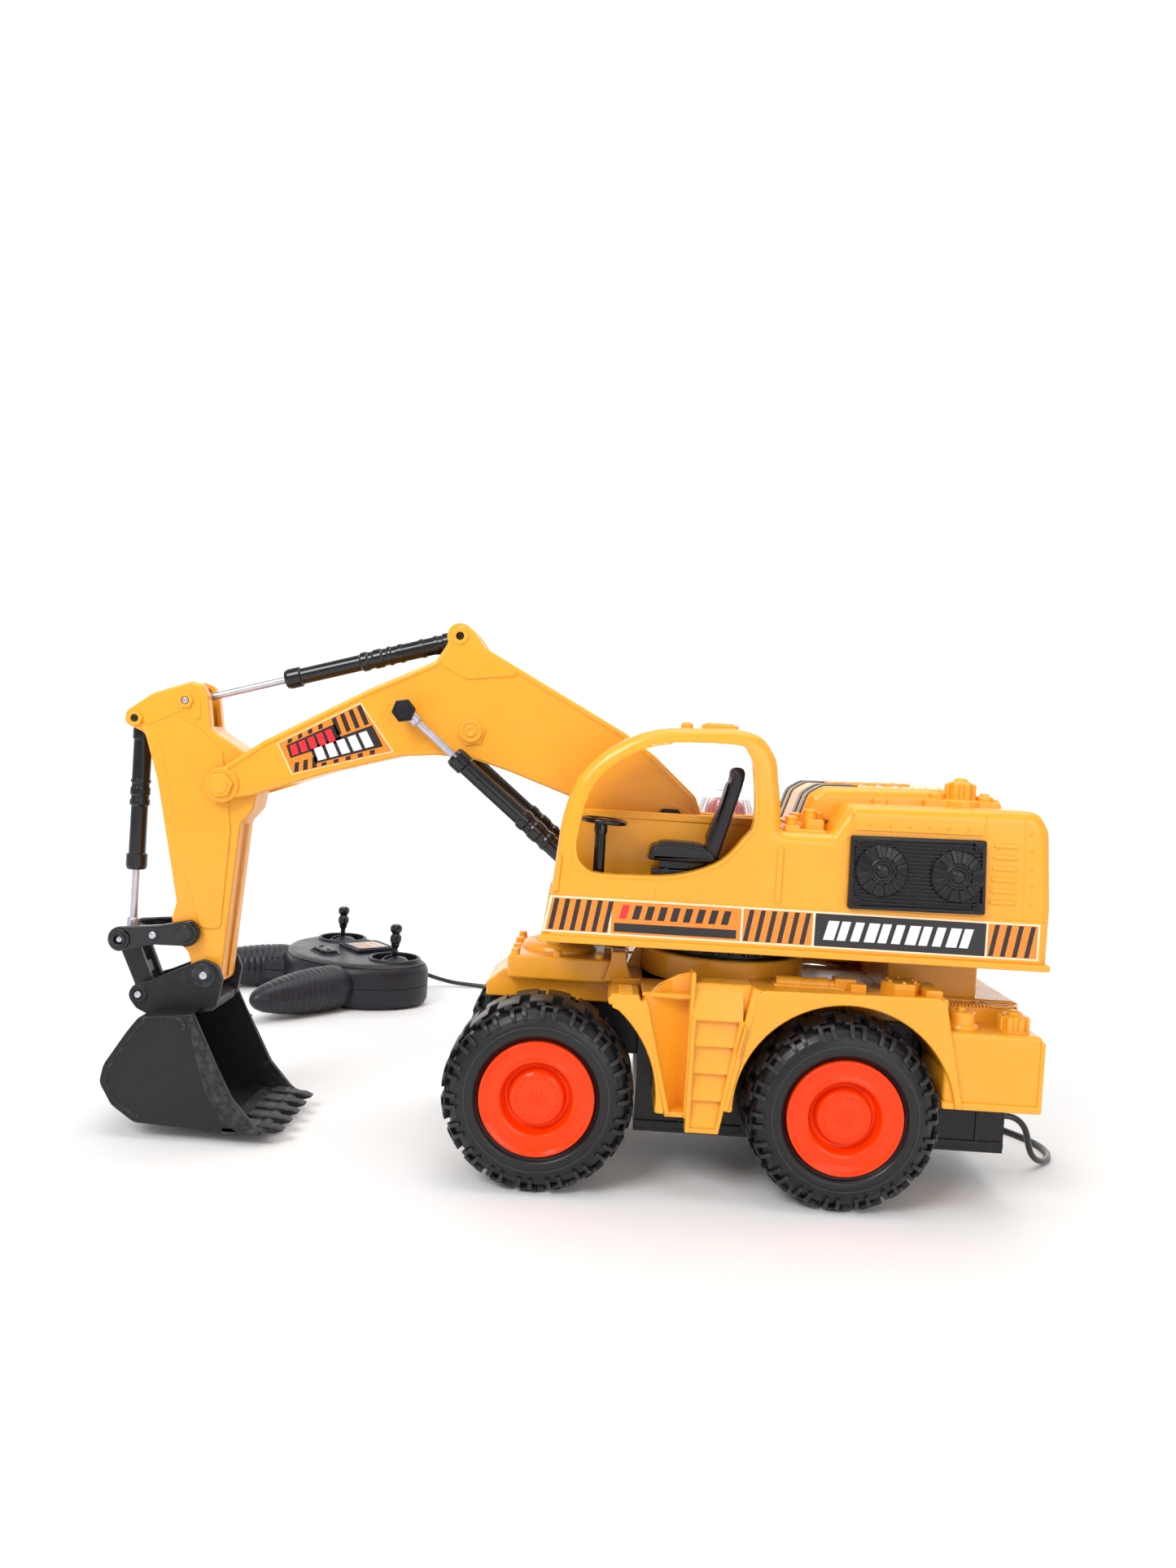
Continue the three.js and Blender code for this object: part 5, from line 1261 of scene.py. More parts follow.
def grille(word, side):
    s = Solid()
    corners = [[51.4, 148.8], [117.5, 149.6], [116, 185.6], [51, 184.4]]
    screw_places = ((55, 152.6), (113.8, 153), (112.8, 182.2), (54.8, 181.2))
    at_side(s, side, rounded(corners, 1.2), 68.3, 69.6, 0.3)
    at_side(s, side, rounded(corners, 1.2), 69, 71.3, 0.5, holes=[inset(rounded(corners, 1.2), 2.3)])
    for k in range(17):
        z = 152.2 + 1.87 * k
        at_side(s, side, rectangle(53.4, 115, z - 0.52, z + 0.52, 0.45, 2), 69, 70.9, 0.35)
    for x, z in ((66.6, 168.2), (102.9, 167.6)):
        turn = outward(x, z, side)
        disc = [(0, 69), (12.8, 69), (12.8, 71), (12.2, 71.8), (11, 72.2), (6.4, 73.4), (5.6, 73.9),
                (5.0, 73.7), (4.6, 73), (3.6, 72.9), (3.1, 73.6), (2.2, 74.1), (0, 74.2)]
        s.lathe(soften(disc, 0.35, 3), turn, 64)
        blade = rounded([[6.6, 72.6], [12.3, 71.3], [12.6, 72.3], [11.8, 73.1], [6.6, 74.2]], 0.3)
        s.around(Solid().plate(blade, -1.25, 1.25, 0.5), 12, turn, 0.5)
    for x, z in screw_places:
        at_side(s, side, circle(x, z, 2.6, 20), 69, 71.7, 0.4)
    piece(f"grille_{word}_panel", s, BLACK, "house", replaces=[f"grille_{word}"])
    places = [outward(x, z, side, side * 71.5) for x, z in screw_places]
    screws(f"grille_{word}_screws", places, "house", BLACK, radius=1.8)


LEAN = 0.16  # slope of the front edge of the skirt


def decal(s, points, side, level):
    """A sticker shape standing level hundredths of a millimetre off a side of the house."""
    at_side(s, side, points, HALF - 0.3, HALF + level / 100, 0)


def slanted(x0, x1, z0, z1, lean):
    return [[x0, z0], [x1, z0], [x1 + lean, z1], [x0 + lean, z1]]


def skirt_stripes():
    """Generic bars on the skirt; nothing in them is a letter."""
    low, high = 128.4, 146.2
    parts = {key: Solid() for key in ("cream", "orange", "black", "white", "red")}
    for side in (-1, 1):
        base = [[-95.6, low], [145.6, low], [145.6, high], [-95.6 + (high - low) * LEAN, high]]
        decal(parts["cream"], base, side, 12)
        fields = [(-94.4, -63.4), (-62.4, 0.8), (1.8, 35.6), (120.6, 144.6)]
        for x0, x1 in fields:
            lean = 0 if x0 > -90 else (high - low) * LEAN
            decal(parts["orange"], [[x0, low + 0.9], [x1, low + 0.9], [x1, high - 0.9],
                                    [x0 + lean, high - 0.9]], side, 18)
        for start, count, step in ((-92.6, 6, 5.3), (2.6, 6, 5.5), (121.6, 4, 5.8)):
            for k in range(count):
                x = start + step * k
                decal(parts["black"], slanted(x - 0.4, x + 1.9, low + 1.2, high - 1.2, 2.6), side, 24)
        decal(parts["black"], rectangle(-60.8, -1.2, low + 1.9, low + 6.2, 0.3, 2), side, 24)
        for k in range(9):
            x = -58.6 + 6.2 * k
            colour = "red" if k == 0 else "black"
            decal(parts[colour], slanted(x, x + 3.4, low + 8.4, high - 2.6, 1.6), side, 24)
        decal(parts["black"], rectangle(36.8, 119.6, low + 0.9, high - 0.9, 0.4, 2), side, 24)
        for k in range(11):
            x = 41 + 6.6 * k
            decal(parts["white"], slanted(x, x + (4.2 if k % 3 else 5.2), low + 4.2, high - 4.2, 2.4), side,
                  30)
    for key, material in STICKERS.items():
        piece(f"skirt_sticker_{key}", parts[key], material, "house")


def bulge_stripes():
    edge = inset(rounded(BULGE, BULGE_RADII, 5), -0.2)
    line = [[60, 207.22]] + [p for p in edge if p[0] < 50 and p[1] > 186]
    s = Solid()
    for y0, y1 in ((-35.5, -28), (-21, -13.5), (13.5, 21), (28, 35.5)):
        s.plate(ribbon(line, 0.7), y0, y1, 0.1)
    piece("bulge_sticker", s, STICKER_BLACK, "house")


def toothed_ring():
    s = Solid()
    ring = [(33, 99.2), (37.4, 99.2), (37.4, 116.6), (41.4, 117), (41.6, 123.4), (41, 124), (37.4, 124.1),
            (37.4, 127.6), (33, 127.6)]
    s.lathe(soften(ring, 0.4, 2), Matrix(), 96)
    tooth = rounded([[40, -1.8], [45, -1.1], [45.6, 0], [45, 1.1], [40, 1.8]], 0.4)
    s.around(Solid().plate(tooth, 117, 123.6, 0.6, "Z"), 36, Matrix())
    piece("toothed_slew_ring", s, BLACK, "house", replaces=["slew_ring"])


def house():
    for word, (slab, cuts) in zip(("near", "middle", "far"), house_walls()):
        piece(f"house_slab_{word}", slab, YELLOW, "house", cuts=cuts, sharp=38,
              replaces=["house_shell"] if word == "near" else [])
    piece("house_bulge", sill_and_bulge(), YELLOW, "house")
    piece("house_trim", house_details(), YELLOW, "house")
    piece("rear_louvres", rear_panel(), YELLOW, "house")
    cab_fittings()
    beacon()
    grille("near", -1)
    grille("far", 1)
    skirt_stripes()
    bulge_stripes()
    toothed_ring()


house()


# ---- arm -----------------------------------------------------------------------------------
BOOM = [
    *arc(FOOT[0], FOOT[1], 18, 270, 380, 10), [-22, 197], [-46.6, 215.9], [-63.6, 225.7], [-117.2, 249.3],
    [-143, 260.7], [-150.3, 269], [-156.5, 272.4], [-162, 267.5], [-163.5, 259.5], [-168.4, 250.2],
    [-201.6, 231], [-254.3, 196.2], [-272, 181.5], *arc(BOOM_TIP[0], BOOM_TIP[1], 8.5, 150, 270, 8),
    [-256.3, 166.5], [-218.3, 183.6], [-180.3, 197.6], [-160.9, 200.8], [-141.8, 201.2], [-122.1, 197.2],
    [-88.6, 188.3], [-60, 172]]
STICK = [
    [-262.8, 150], [-257, 158], [-255.5, 172], [-260, 186], [-273, 192.5], [-284.7, 198.3], [-288.5, 216],
    [-292, 221.5], [-298.1, 222.8], [-318.4, 213.8], [-331.7, 202.5], [-332, 195.5], [-320.5, 192],
    [-318.7, 188], [-310.6, 167.4], [-299.1, 126.8], [-292.5, 103], [-294, 93.5], [-291, 83], [-283, 77],
    [-279.8, 68.5], [-277, 61], [-270.5, 58.8], [-263.4, 61.7]]
BOOM_HALF, STICK_HALF, BUCKET_HALF = 18, 12, 36
SEAM = 0.15


def boss_at(s, side, point, radius, y0, y1, fillet, bore, steps=32, bore_steps=24):
    """Round boss on one side with a hole through it."""
    return at_side(s, side, circle(*point, radius, steps), y0, y1, fillet,
                   holes=[circle(*point, bore, bore_steps)])


def axle(point, radius, reach, fillet=0.4, segments=28):
    """Plain round bar across the arm."""
    bar = [(0, -reach), (radius, -reach), (radius, reach), (0, reach)]
    return Solid().lathe(soften(bar, fillet, 2), about_y(*point), segments)


def hexagon(x, z, radius, turn=0):
    return [[x + radius * math.cos(math.pi / 3 * k + turn),
             z + radius * math.sin(math.pi / 3 * k + turn)] for k in range(6)]


def boom_line():
    return rounded(BOOM, 5, 5)


def boom_half(side):
    """One half of the boom: a wall with a raised rim and the edge wall that meets the other half."""
    line = boom_line()
    s = Solid()
    at_side(s, side, line, SEAM, BOOM_HALF, steps=3, fillets=(0.3, 1.5))
    cuts = [Solid(), Solid(), Solid(), Solid(), Solid()]
    at_side(cuts[0], side, inset(line, 2.4), -1, BOOM_HALF - 2.6, 0)
    at_side(cuts[1], side, inset(line, 2.7), BOOM_HALF - 0.55, BOOM_HALF + 2, 0)
    cuts[2].box(-292, -238, *sorted((side * -1, side * (BOOM_HALF - 2.6))), 148, 216, 0.2)
    cuts[3].box(-182, -142, *sorted((side * -1, side * 6.2)), 244.5, 282, 0.2)
    for (x, z), r in ((FOOT, 3.3), (BOOM_ROD_EYE, 2.6), (STICK_BARREL_EYE, 2.1), (BOOM_TIP, 2.9)):
        at_side(cuts[4], side, circle(x, z, r, 24), -1, BOOM_HALF + 4, 0)
    return s, cuts


def boom_details(side):
    s = Solid()
    boss_at(s, side, STICK_BARREL_EYE, 7, 6.4, BOOM_HALF - 0.4, 0.5, 2.1, 28)
    # bracket plate of the upper horn, drawn on the face
    horn = [[-166.6, 249], [-161.5, 258], [-160.2, 266.8], [-155.8, 270.4], [-151.6, 267.4],
            [-144.6, 258.6], [-120, 248.2], [-134, 246], [-150, 242.6]]
    at_side(s, side, rounded(horn, 3, 4), BOOM_HALF - 0.8, BOOM_HALF + 0.25, 0.5,
            holes=[circle(*STICK_BARREL_EYE, 2.2, 24)])
    boss_at(s, side, STICK_BARREL_EYE, 4.6, BOOM_HALF - 0.2, BOOM_HALF + 0.9, 0.4, 2.2, 28)
    # hexagonal boss with two rings
    x, z = -144.8, 215.7
    at_side(s, side, rounded(hexagon(x, z, 8.2, 0.3), 0.8), BOOM_HALF - 1, BOOM_HALF + 0.7, 0.4)
    turn = outward(x, z, side)
    boss = [(0, 17), (6.2, 17), (6.2, 19.5), (5.6, 20.1), (4.6, 20.1), (4.2, 19.4), (3.2, 19.3),
            (2.8, 20.2), (2, 20.4), (1.4, 19.8), (0, 19.7)]
    s.lathe(soften(boss, 0.25, 2), turn, 40)
    # round boss behind the stick pin and raised collar at the rod pin
    boss_at(s, side, BOOM_TIP, 9.4, BOOM_HALF - 1, BOOM_HALF + 0.55, 0.5, 2.9, 40)
    boss_at(s, side, FOOT, 12, BOOM_HALF - 1, BOOM_HALF + 0.4, 0.4, 3.3, 40)
    return s


def boom_decal(side):
    corners = [[-252.9, 195.0], [-202.3, 228.4], [-176.9, 199.5], [-241.1, 176.1]]
    centre = Vector((sum(p[0] for p in corners) / 4, sum(p[1] for p in corners) / 4))
    small = [list(centre + (Vector(p) - centre) * 0.82) for p in corners]
    a, b, c, d = [Vector(p) for p in small]

    def at(u, v):
        top, low = a + (b - a) * u, d + (c - d) * u
        return list(low + (top - low) * v)

    def field(u0, u1, v0, v1, lean=0.0):
        return [at(u0, v0), at(u1, v0), at(min(1, u1 + lean), v1), at(min(1, u0 + lean), v1)]
    face = BOOM_HALF - 0.55
    parts = {key: Solid() for key in ("orange", "black", "white", "red", "cream")}
    layers = (("cream", 0.1), ("orange", 0.18), ("black", 0.26), ("white", 0.34), ("red", 0.34))
    height = dict(layers)

    def put(key, points):
        at_side(parts[key], side, points, face - 0.3, face + height[key], 0)
    put("cream", field(0, 1, 0, 1))
    put("orange", field(0.012, 0.988, 0.02, 0.98))
    for u in (0.03, 0.12, 0.21):
        put("black", field(u, u + 0.045, 0.04, 0.3, 0.05))
    for u in (0.3, 0.42, 0.54, 0.66, 0.78):
        put("black", field(u, u + 0.05, 0.04, 0.12, 0.02))
    for u in (0.1, 0.22, 0.34, 0.46):
        put("black", field(u, u + 0.05, 0.86, 0.96, 0.02))
    for u in (0.6, 0.7, 0.8, 0.9):
        put("black", field(u, u + 0.05, 0.6, 0.96, 0.04))
    put("black", field(0.06, 0.62, 0.46, 0.84, 0.02))
    put("black", field(0.26, 0.94, 0.14, 0.56, 0.03))
    for k in range(5):
        put("red", field(0.09 + 0.1 * k, 0.16 + 0.1 * k, 0.51, 0.79, 0.02))
    for k in range(5):
        put("white", field(0.3 + 0.12 * k, 0.385 + 0.12 * k, 0.19, 0.5, 0.02))
    return parts


def stick_half(side):
    line = rounded(STICK, 4, 5)
    s = Solid()
    at_side(s, side, line, SEAM, STICK_HALF, steps=3, fillets=(0.25, 1.4))
    cuts = [Solid(), Solid(), Solid()]
    at_side(cuts[0], side, inset(line, 2.2), -1, STICK_HALF - 2.4, 0)
    head = [[-284, 200], [-280, 230], [-345, 230], [-345, 180], [-321, 186], [-316, 196]]
    at_side(cuts[1], side, head, -1, 6.2, 0)
    for (x, z), r in ((BOOM_TIP, 2.9), (STICK_ROD_EYE, 2.1), (BUCKET_BARREL_EYE, 2.1), (ROCKER_PIVOT, 2.7),
                      (BUCKET_HINGE, 2.7)):
        at_side(cuts[2], side, circle(x, z, r, 24), -1, STICK_HALF + 4, 0)
    return s, cuts


def stick_details(side):
    s = Solid()
    panel = [[-267.4, 146], [-266.4, 92], [-277.4, 90.6], [-293, 128], [-308.4, 182], [-313.4, 194],
             [-303.4, 203.2], [-289.4, 197], [-276.6, 187]]
    at_side(s, side, rounded(panel, [6, 3, 4, 10, 6, 3, 4, 6, 6], 5), STICK_HALF - 1, STICK_HALF + 0.95,
            0.75, steps=3)
    head = [[-290.5, 200.5], [-292.2, 214], [-298.5, 219.4], [-318, 210.6], [-328.4, 201.4], [-328, 197.8],
            [-318, 196.6], [-311, 200.8], [-302, 206]]
    at_side(s, side, rounded(head, 2.5, 4), STICK_HALF - 1, STICK_HALF + 0.45, 0.35,
            holes=[circle(*STICK_ROD_EYE, 2.1, 24), circle(*BUCKET_BARREL_EYE, 2.1, 24)])
    for x, z in (STICK_ROD_EYE, BUCKET_BARREL_EYE):
        at_side(s, side, rounded(hexagon(x, z, 4.6, 0.2), 0.5), STICK_HALF - 0.4, STICK_HALF + 1.7, 0.4,
                holes=[circle(x, z, 2.1, 24)])
    for point, r in ((ROCKER_PIVOT, 6), (BUCKET_HINGE, 6.4)):
        boss_at(s, side, point, r, STICK_HALF - 1, STICK_HALF + 0.3, 0.25, 2.7)
    # edge flange where the two halves meet
    at_side(s, side, rounded([[-262, 149], [-262.9, 64], [-262.2, 63], [-261.1, 150]], 0.3), 0.2, 1.5, 0.2)
    return s


def cylinder(start, end, y, length, bore_bottom, radius, eye_half, flat_rib=False):
    """Barrel with end collars and mid rings, bored for its rod."""
    turn = along(start, end, y)
    bore = radius - 0.9
    r = radius
    profile = [
        (0, 4.6), (r - 0.2, 4.6), (r + 0.6, 5.4), (r + 0.6, 11), (r, 11.6), (r, length * 0.4),
        (r + 0.5, length * 0.4 + 0.6), (r + 0.5, length * 0.42), (r - 0.1, length * 0.43),
        (r - 0.1, length * 0.45), (r + 0.5, length * 0.46), (r + 0.5, length * 0.5),
        (r - 0.1, length * 0.51), (r - 0.1, length * 0.53), (r + 0.5, length * 0.54),
        (r + 0.5, length * 0.57), (r - 0.4, length * 0.58), (r - 0.4, length - 9), (r + 0.7, length - 8.4),
        (r + 0.7, length - 2), (r, length), (bore, length), (bore, bore_bottom), (0, bore_bottom)]
    s = Solid().lathe(soften(profile, 0.3, 2), turn, 40)
    eye = about_y(*start, y)
    e = 5.4
    s.lathe(soften([(2.6, -eye_half), (e, -eye_half), (e, eye_half), (2.6, eye_half)], 0.4, 2), eye, 36)
    if flat_rib:
        rib = Solid().box(-1.2, 1.2, -0.9, 0.9, 16, length * 0.38, 0.4)
        s.join(rib.moved(turn @ upright(0, -r - 0.2)))
        for t in (0.14, 0.22, 0.34):
            band = [(r - 0.5, length * t), (r + 0.45, length * t), (r + 0.45, length * t + 2.4),
                    (r - 0.5, length * t + 2.4)]
            s.lathe(soften(band, 0.25, 2), turn, 40)
    return s


def rod(start, end, y, length, radius, eye_half):
    turn = along(start, end, y)
    s = Solid().lathe(soften([(0, 3), (radius, 3), (radius, length - 0.6), (radius - 0.5, length),
                              (0, length)], 0.3, 2), turn, 28)
    s.lathe(soften([(0, 3.6), (3.3, 3.6), (3.5, 4.6), (3.3, 8.6), (2.6, 9.6), (0, 9.8)], 0.3, 2), turn, 28)
    eye = about_y(*start, y)
    s.lathe(soften([(2.6, -eye_half), (4.6, -eye_half), (4.6, eye_half), (2.6, eye_half)], 0.35, 2), eye,
            32)
    return s


def bolt(point, radius, reach, head, height):
    """Bar with a hexagonal head and a round cap at both ends."""
    s = axle(point, radius, reach)
    top = reach + height
    cap = [(0, reach), (head * 0.62, reach), (head * 0.6, top + 0.5), (0, top + 0.8)]
    for side in (-1, 1):
        at_side(s, side, rounded(hexagon(*point, head, 0.25), 0.9), reach - 0.4, top, 0.6, steps=3)
        s.lathe(soften(cap, 0.4, 2), outward(*point, side), 28)
    return s


def boom():
    for word, side in SIDES:
        body, cuts = boom_half(side)
        piece(f"boom_{word}_half", body, YELLOW, "boom", ARM, cuts=cuts, sharp=38,
              replaces=[f"boom_shell_{word}"])
        piece(f"boom_{word}_bosses", boom_details(side), YELLOW, "boom", ARM)
        for key, solid in boom_decal(side).items():
            piece(f"boom_{word}_sticker_{key}", solid, STICKERS[key], "boom", ARM)
    piece("boom_cylinder_bolt", bolt(BOOM_ROD_EYE, 2.2, 29.6, 6.4, 2.6), BLACK, "boom", ARM,
          replaces=["boom_cylinder_pin"])
    piece("stick_bolt", bolt(BOOM_TIP, 2.6, BOOM_HALF + 0.4, 7, 2.2), YELLOW, "boom", ARM,
          replaces=["stick_pin"])


def raised(point):
    dx, dz = point[0] - FOOT[0], point[1] - FOOT[1]
    c, s = math.cos(ARM_RAISE), math.sin(ARM_RAISE)
    return [FOOT[0] + dx * c + dz * s, FOOT[1] - dx * s + dz * c]


def cylinders():
    barrel_eye, rod_eye = [-62, 139], raised(BOOM_ROD_EYE)
    for word, side in SIDES:
        piece(f"boom_{word}_barrel", cylinder(barrel_eye, rod_eye, side * 26, 113, 66, 4.9, 3.2),
              GLOSS_BLACK, "boom_cylinders", replaces=[f"boom_cylinder_{word}"])
        piece(f"boom_{word}_ram", rod(rod_eye, barrel_eye, side * 26, 70, 2, 3), SILVER, "boom_rods",
              replaces=[f"boom_rod_{word}"])
    arm_cylinder("stick", STICK_BARREL_EYE, STICK_ROD_EYE, (100, 42, 5), (74, 4),
                 (BOOM_HALF - 0.8, STICK_HALF + 1.6), flat_rib=True)
    arm_cylinder("bucket", BUCKET_BARREL_EYE, ROCKER_END, (83, 28, 4.5), (64, 4.4), (STICK_HALF + 1.6, 18))


def arm_cylinder(word, start, end, barrel_sizes, rod_sizes, reaches, flat_rib=False):
    """Barrel and rod on the middle line, each with the pin through its eye."""
    length, bore, eye_half = barrel_sizes
    barrel = cylinder(start, end, 0, length, bore, 4.9, eye_half, flat_rib)
    barrel.join(axle(start, 1.8, reaches[0]))
    piece(f"{word}_barrel", barrel, GLOSS_BLACK, f"{word}_cylinder", ARM, replaces=[f"{word}_cylinder"])
    ram = rod(end, start, 0, rod_sizes[0], 2, rod_sizes[1]).join(axle(end, 1.8, reaches[1]))
    piece(f"{word}_ram", ram, SILVER, f"{word}_rod", ARM, replaces=[f"{word}_rod"])


def stick():
    for word, side in SIDES:
        body, cuts = stick_half(side)
        piece(f"stick_{word}_half", body, YELLOW, "stick", ARM, cuts=cuts, sharp=38,
              replaces=[f"stick_shell_{word}"])
        piece(f"stick_{word}_panel", stick_details(side), YELLOW, "stick", ARM)


BUCKET = [
    [-272, 49.5], [-296, 45.5], [-302, 36], [-311.8, 17.7], [-313.1, 8.1], [-305.3, -3.1], [-292.5, -10.7],
    [-242.2, -9.6], [-224, -7.4], [-229.5, -4], [-243.1, 9.2], [-252.9, 24.8], [-268, 50.5]]
BUCKET_ROOM = [
    [-272, 46.6], [-294.6, 42.8], [-299.5, 34.8], [-309, 17.4], [-310.2, 9.2], [-303.6, -1.4], [-292, -8],
    [-242, -6.9], [-222, -4.8], [-200, 5], [-235, 60], [-262, 60]]


def bucket_line():
    return rounded(BUCKET, [1, 5, 8, 8, 7, 8, 7, 12, 1, 2, 8, 8, 1], 5)


def bucket_shell():
    s = Solid()
    s.plate(bucket_line(), -BUCKET_HALF, BUCKET_HALF, 0.9, steps=3)
    room = Solid().plate(rounded(BUCKET_ROOM, [1, 4, 6, 7, 6, 7, 6, 12, 1, 1, 1, 1], 5), -BUCKET_HALF + 2.4,
                         BUCKET_HALF - 2.4, 0.8)
    return s, [room]


def bucket_parts():
    s = Solid()
    ear = [[-262, 51], [-260.5, 66], [-264, 73], [-272, 75.5], [-300, 60], [-308.5, 56.4], [-310, 50],
           [-305, 44.4], [-296, 41]]
    for side in (-1, 1):
        at_side(s, side, rounded(ear, [0.5, 3, 4, 5, 3, 4, 4, 3, 0.5], 5), 14.5, 18.2, 0.5,
                holes=[circle(*BUCKET_EAR, 2.5, 24)])
        at_side(s, side, circle(*BUCKET_HINGE, 6.6, 32), 18, 19.2, 0.5)
        boss_at(s, side, BUCKET_EAR, 5, 18, 18.9, 0.4, 2.5)
        # hooked bead below the hinge and the raised side cutter
        hook = [[-299, 44.2], [-285, 46.2], [-278, 47.6], [-273, 46.4], [-270.6, 41.6]]
        hook = ribbon(rounded(hook, 3, 5)[1:-1], 1.4)
        at_side(s, side, hook, BUCKET_HALF - 0.6, BUCKET_HALF + 0.7, 0.4)
        cutter = [[-268.2, 49.4], [-264.2, 42.8], [-252.6, 24.6], [-243, 9.2], [-229.5, -4], [-224.6, -7],
                  [-236, -8.8], [-246, -4], [-256, 9.4], [-263, 26], [-270.4, 47]]
        at_side(s, side, rounded(cutter, [1, 2, 4, 6, 3, 1, 4, 5, 6, 5, 1], 4), BUCKET_HALF - 0.6,
                BUCKET_HALF + 0.8, 0.5)
        corner = ribbon([p for p in inset(bucket_line(), 3.4) if p[0] < -273 or p[1] < -4 and p[0] < -256],
                        0.9)
        at_side(s, side, corner, BUCKET_HALF - 0.5, BUCKET_HALF + 0.3, 0.25)
        for x, z in ((-233, -5.6), (-259, 33)):
            turn = outward(x, z, side, side * BUCKET_HALF)
            dome(s, 0, 0, 1.4, 0.8, 0.7, turn, 16)
    # back plate ribs and the mounting saddle
    for y in (-24, -12, 0, 12, 24):
        rib = ribbon([[-303.4, 36.4], [-312.4, 18], [-313.8, 8], [-306, -3.6], [-292.8, -11.2]], 1.0)
        s.plate(rib, y - 0.9, y + 0.9, 0.3)
    s.plate(rounded([[-264, 48], [-262, 53.6], [-268, 56.4], [-296, 50.4], [-300, 44], [-294, 42]], 1.2),
            -18, 18, 0.8)
    # cutting edge and teeth
    s.plate(rounded([[-246, -10.4], [-226, -8.4], [-222.6, -6.6], [-226, -5.4], [-246, -6.6]], 0.5),
            -BUCKET_HALF, BUCKET_HALF, 0.5)
    for y in (-28.5, -14.2, 0, 14.2, 28.5):
        s.plate(rounded([[-238, -9.8], [-219, -8.2], [-214, -6], [-219, -4.4], [-233, -4.6]], 0.5), y - 3.2,
                y + 3.2, 0.9, steps=3)
        s.plate(rounded([[-240, -9.8], [-230, -9.2], [-228, -4], [-238, -4]], 0.8), y - 4.2, y + 4.2, 0.9)
    return s


def rocker_arm(side):
    px, pz, ex, ez = *ROCKER_PIVOT, *ROCKER_END
    waist = [*arc(px, pz, 7.4, -100, 80, 14), [(px + ex) / 2 + 3, (pz + ez) / 2 + 6.4],
             *arc(ex, ez, 6.8, 100, 270, 12), [(px + ex) / 2 + 1, (pz + ez) / 2 - 4.6]]
    s = Solid()
    at_side(s, side, rounded(waist, 2, 3), 13.5, 17, 0.8, steps=3, holes=[circle(px, pz, 2.6, 28),
                                                                          circle(ex, ez, 2.4, 28)])
    for point, r, bore in ((ROCKER_PIVOT, 6.4, 2.6), (ROCKER_END, 5.6, 2.4)):
        boss_at(s, side, point, r, 16.4, 18.4, 0.5, bore, 36, 28)
        boss_at(s, side, point, r - 1.6, 17, 19.2, 0.4, bore, 36, 28)
    mx, mz = (px + ex) / 2, (pz + ez) / 2 + 0.6
    at_side(s, side, circle(mx, mz, 3.2, 24), 16.4, 17.5, 0.4)
    return s


def linkage():
    near = rocker_arm(-1)
    near.join(axle(ROCKER_PIVOT, 2.3, 19.6))
    at_side(near, -1, circle(*ROCKER_PIVOT, 4.2, 28), 18.6, 20, 0.5)
    piece("rocker_near_arm", near, GLOSS_BLACK, "rocker", ARM,
          replaces=["rocker_near"])
    far = rocker_arm(1)
    piece("rocker_far_arm", far, GLOSS_BLACK, "rocker", ARM, replaces=["rocker_far"])
    mx, mz = (ROCKER_PIVOT[0] + ROCKER_END[0]) / 2, (ROCKER_PIVOT[1] + ROCKER_END[1]) / 2 + 0.6
    studs = Solid()
    for side in (-1, 1):
        dome(studs, 0, 0, 2.1, 0.9, 17.3, outward(mx, mz, side), 24)
    piece("rocker_studs", studs, SILVER, "rocker", ARM)
    s = Solid()
    ax, az, bx, bz = *ROCKER_END, *BUCKET_EAR
    strap = [[ax + 5, az + 1.4], [ax + 1, az + 5.4], [ax - 4, az + 4], [ax - 5.6, az - 1],
             [bx - 6.4, bz + 3], [bx - 5, bz - 4], [bx, bz - 5.4], [bx + 4.6, bz - 3], [bx + 5.6, bz + 1]]
    for side in (-1, 1):
        at_side(s, side, rounded(strap, 3, 4), 5.2, 8.8, 0.7, steps=3, holes=[circle(ax, az, 2.4, 24),
                                                                              circle(bx, bz, 3.4, 24)])
        boss_at(s, side, ROCKER_END, 4.4, 8.4, 12.8, 0.5, 2.4, 28)
    s.plate(rounded([[-315, 65], [-308, 67.4], [-304.6, 60.5], [-311, 58]], 1), -6, 6, 0.4)
    piece("bucket_link_straps", s, BLACK, "bucket_link", ARM,
          replaces=["bucket_link"])


def bucket():
    body, cuts = bucket_shell()
    piece("bucket_pan", body, BUCKET_BLACK, "bucket", ARM, cuts=cuts,
          replaces=["bucket"], sharp=38)
    piece("bucket_fittings", bucket_parts(), BUCKET_BLACK, "bucket", ARM)
    pins = axle(BUCKET_HINGE, 2.2, 20, 0.5).join(axle(BUCKET_EAR, 1.9, 19.4))
    piece("bucket_pins", pins, SILVER, "bucket", ARM)


def arm():
    boom()
    cylinders()
    stick()
    linkage()
    bucket()


arm()


# ---- handset ---------------------------------------------------------------------------------
BODY_HALF = [[25, 26.5], [47.5, 27.5], [66, 20.5], [74.5, 2], [72, -20], [60, -42], [38, -58], [15, -66]]
TOP, SPLIT = 36, 17
WELL_X = 47.5
HANDSET_FEET = ((-52, 8), (52, 8), (-30, -54), (30, -54))


def handset_line():
    right = [[0, 25]] + BODY_HALF
    left = [[-x, y] for x, y in reversed(BODY_HALF)]
    return smooth_loop(right + [[0, -68]] + left, 5)[::-1]


def slab(s, outline, z0, z1, fillet=0.5, **more):
    return s.plate(outline, z0, z1, fillet, "Z", **more)


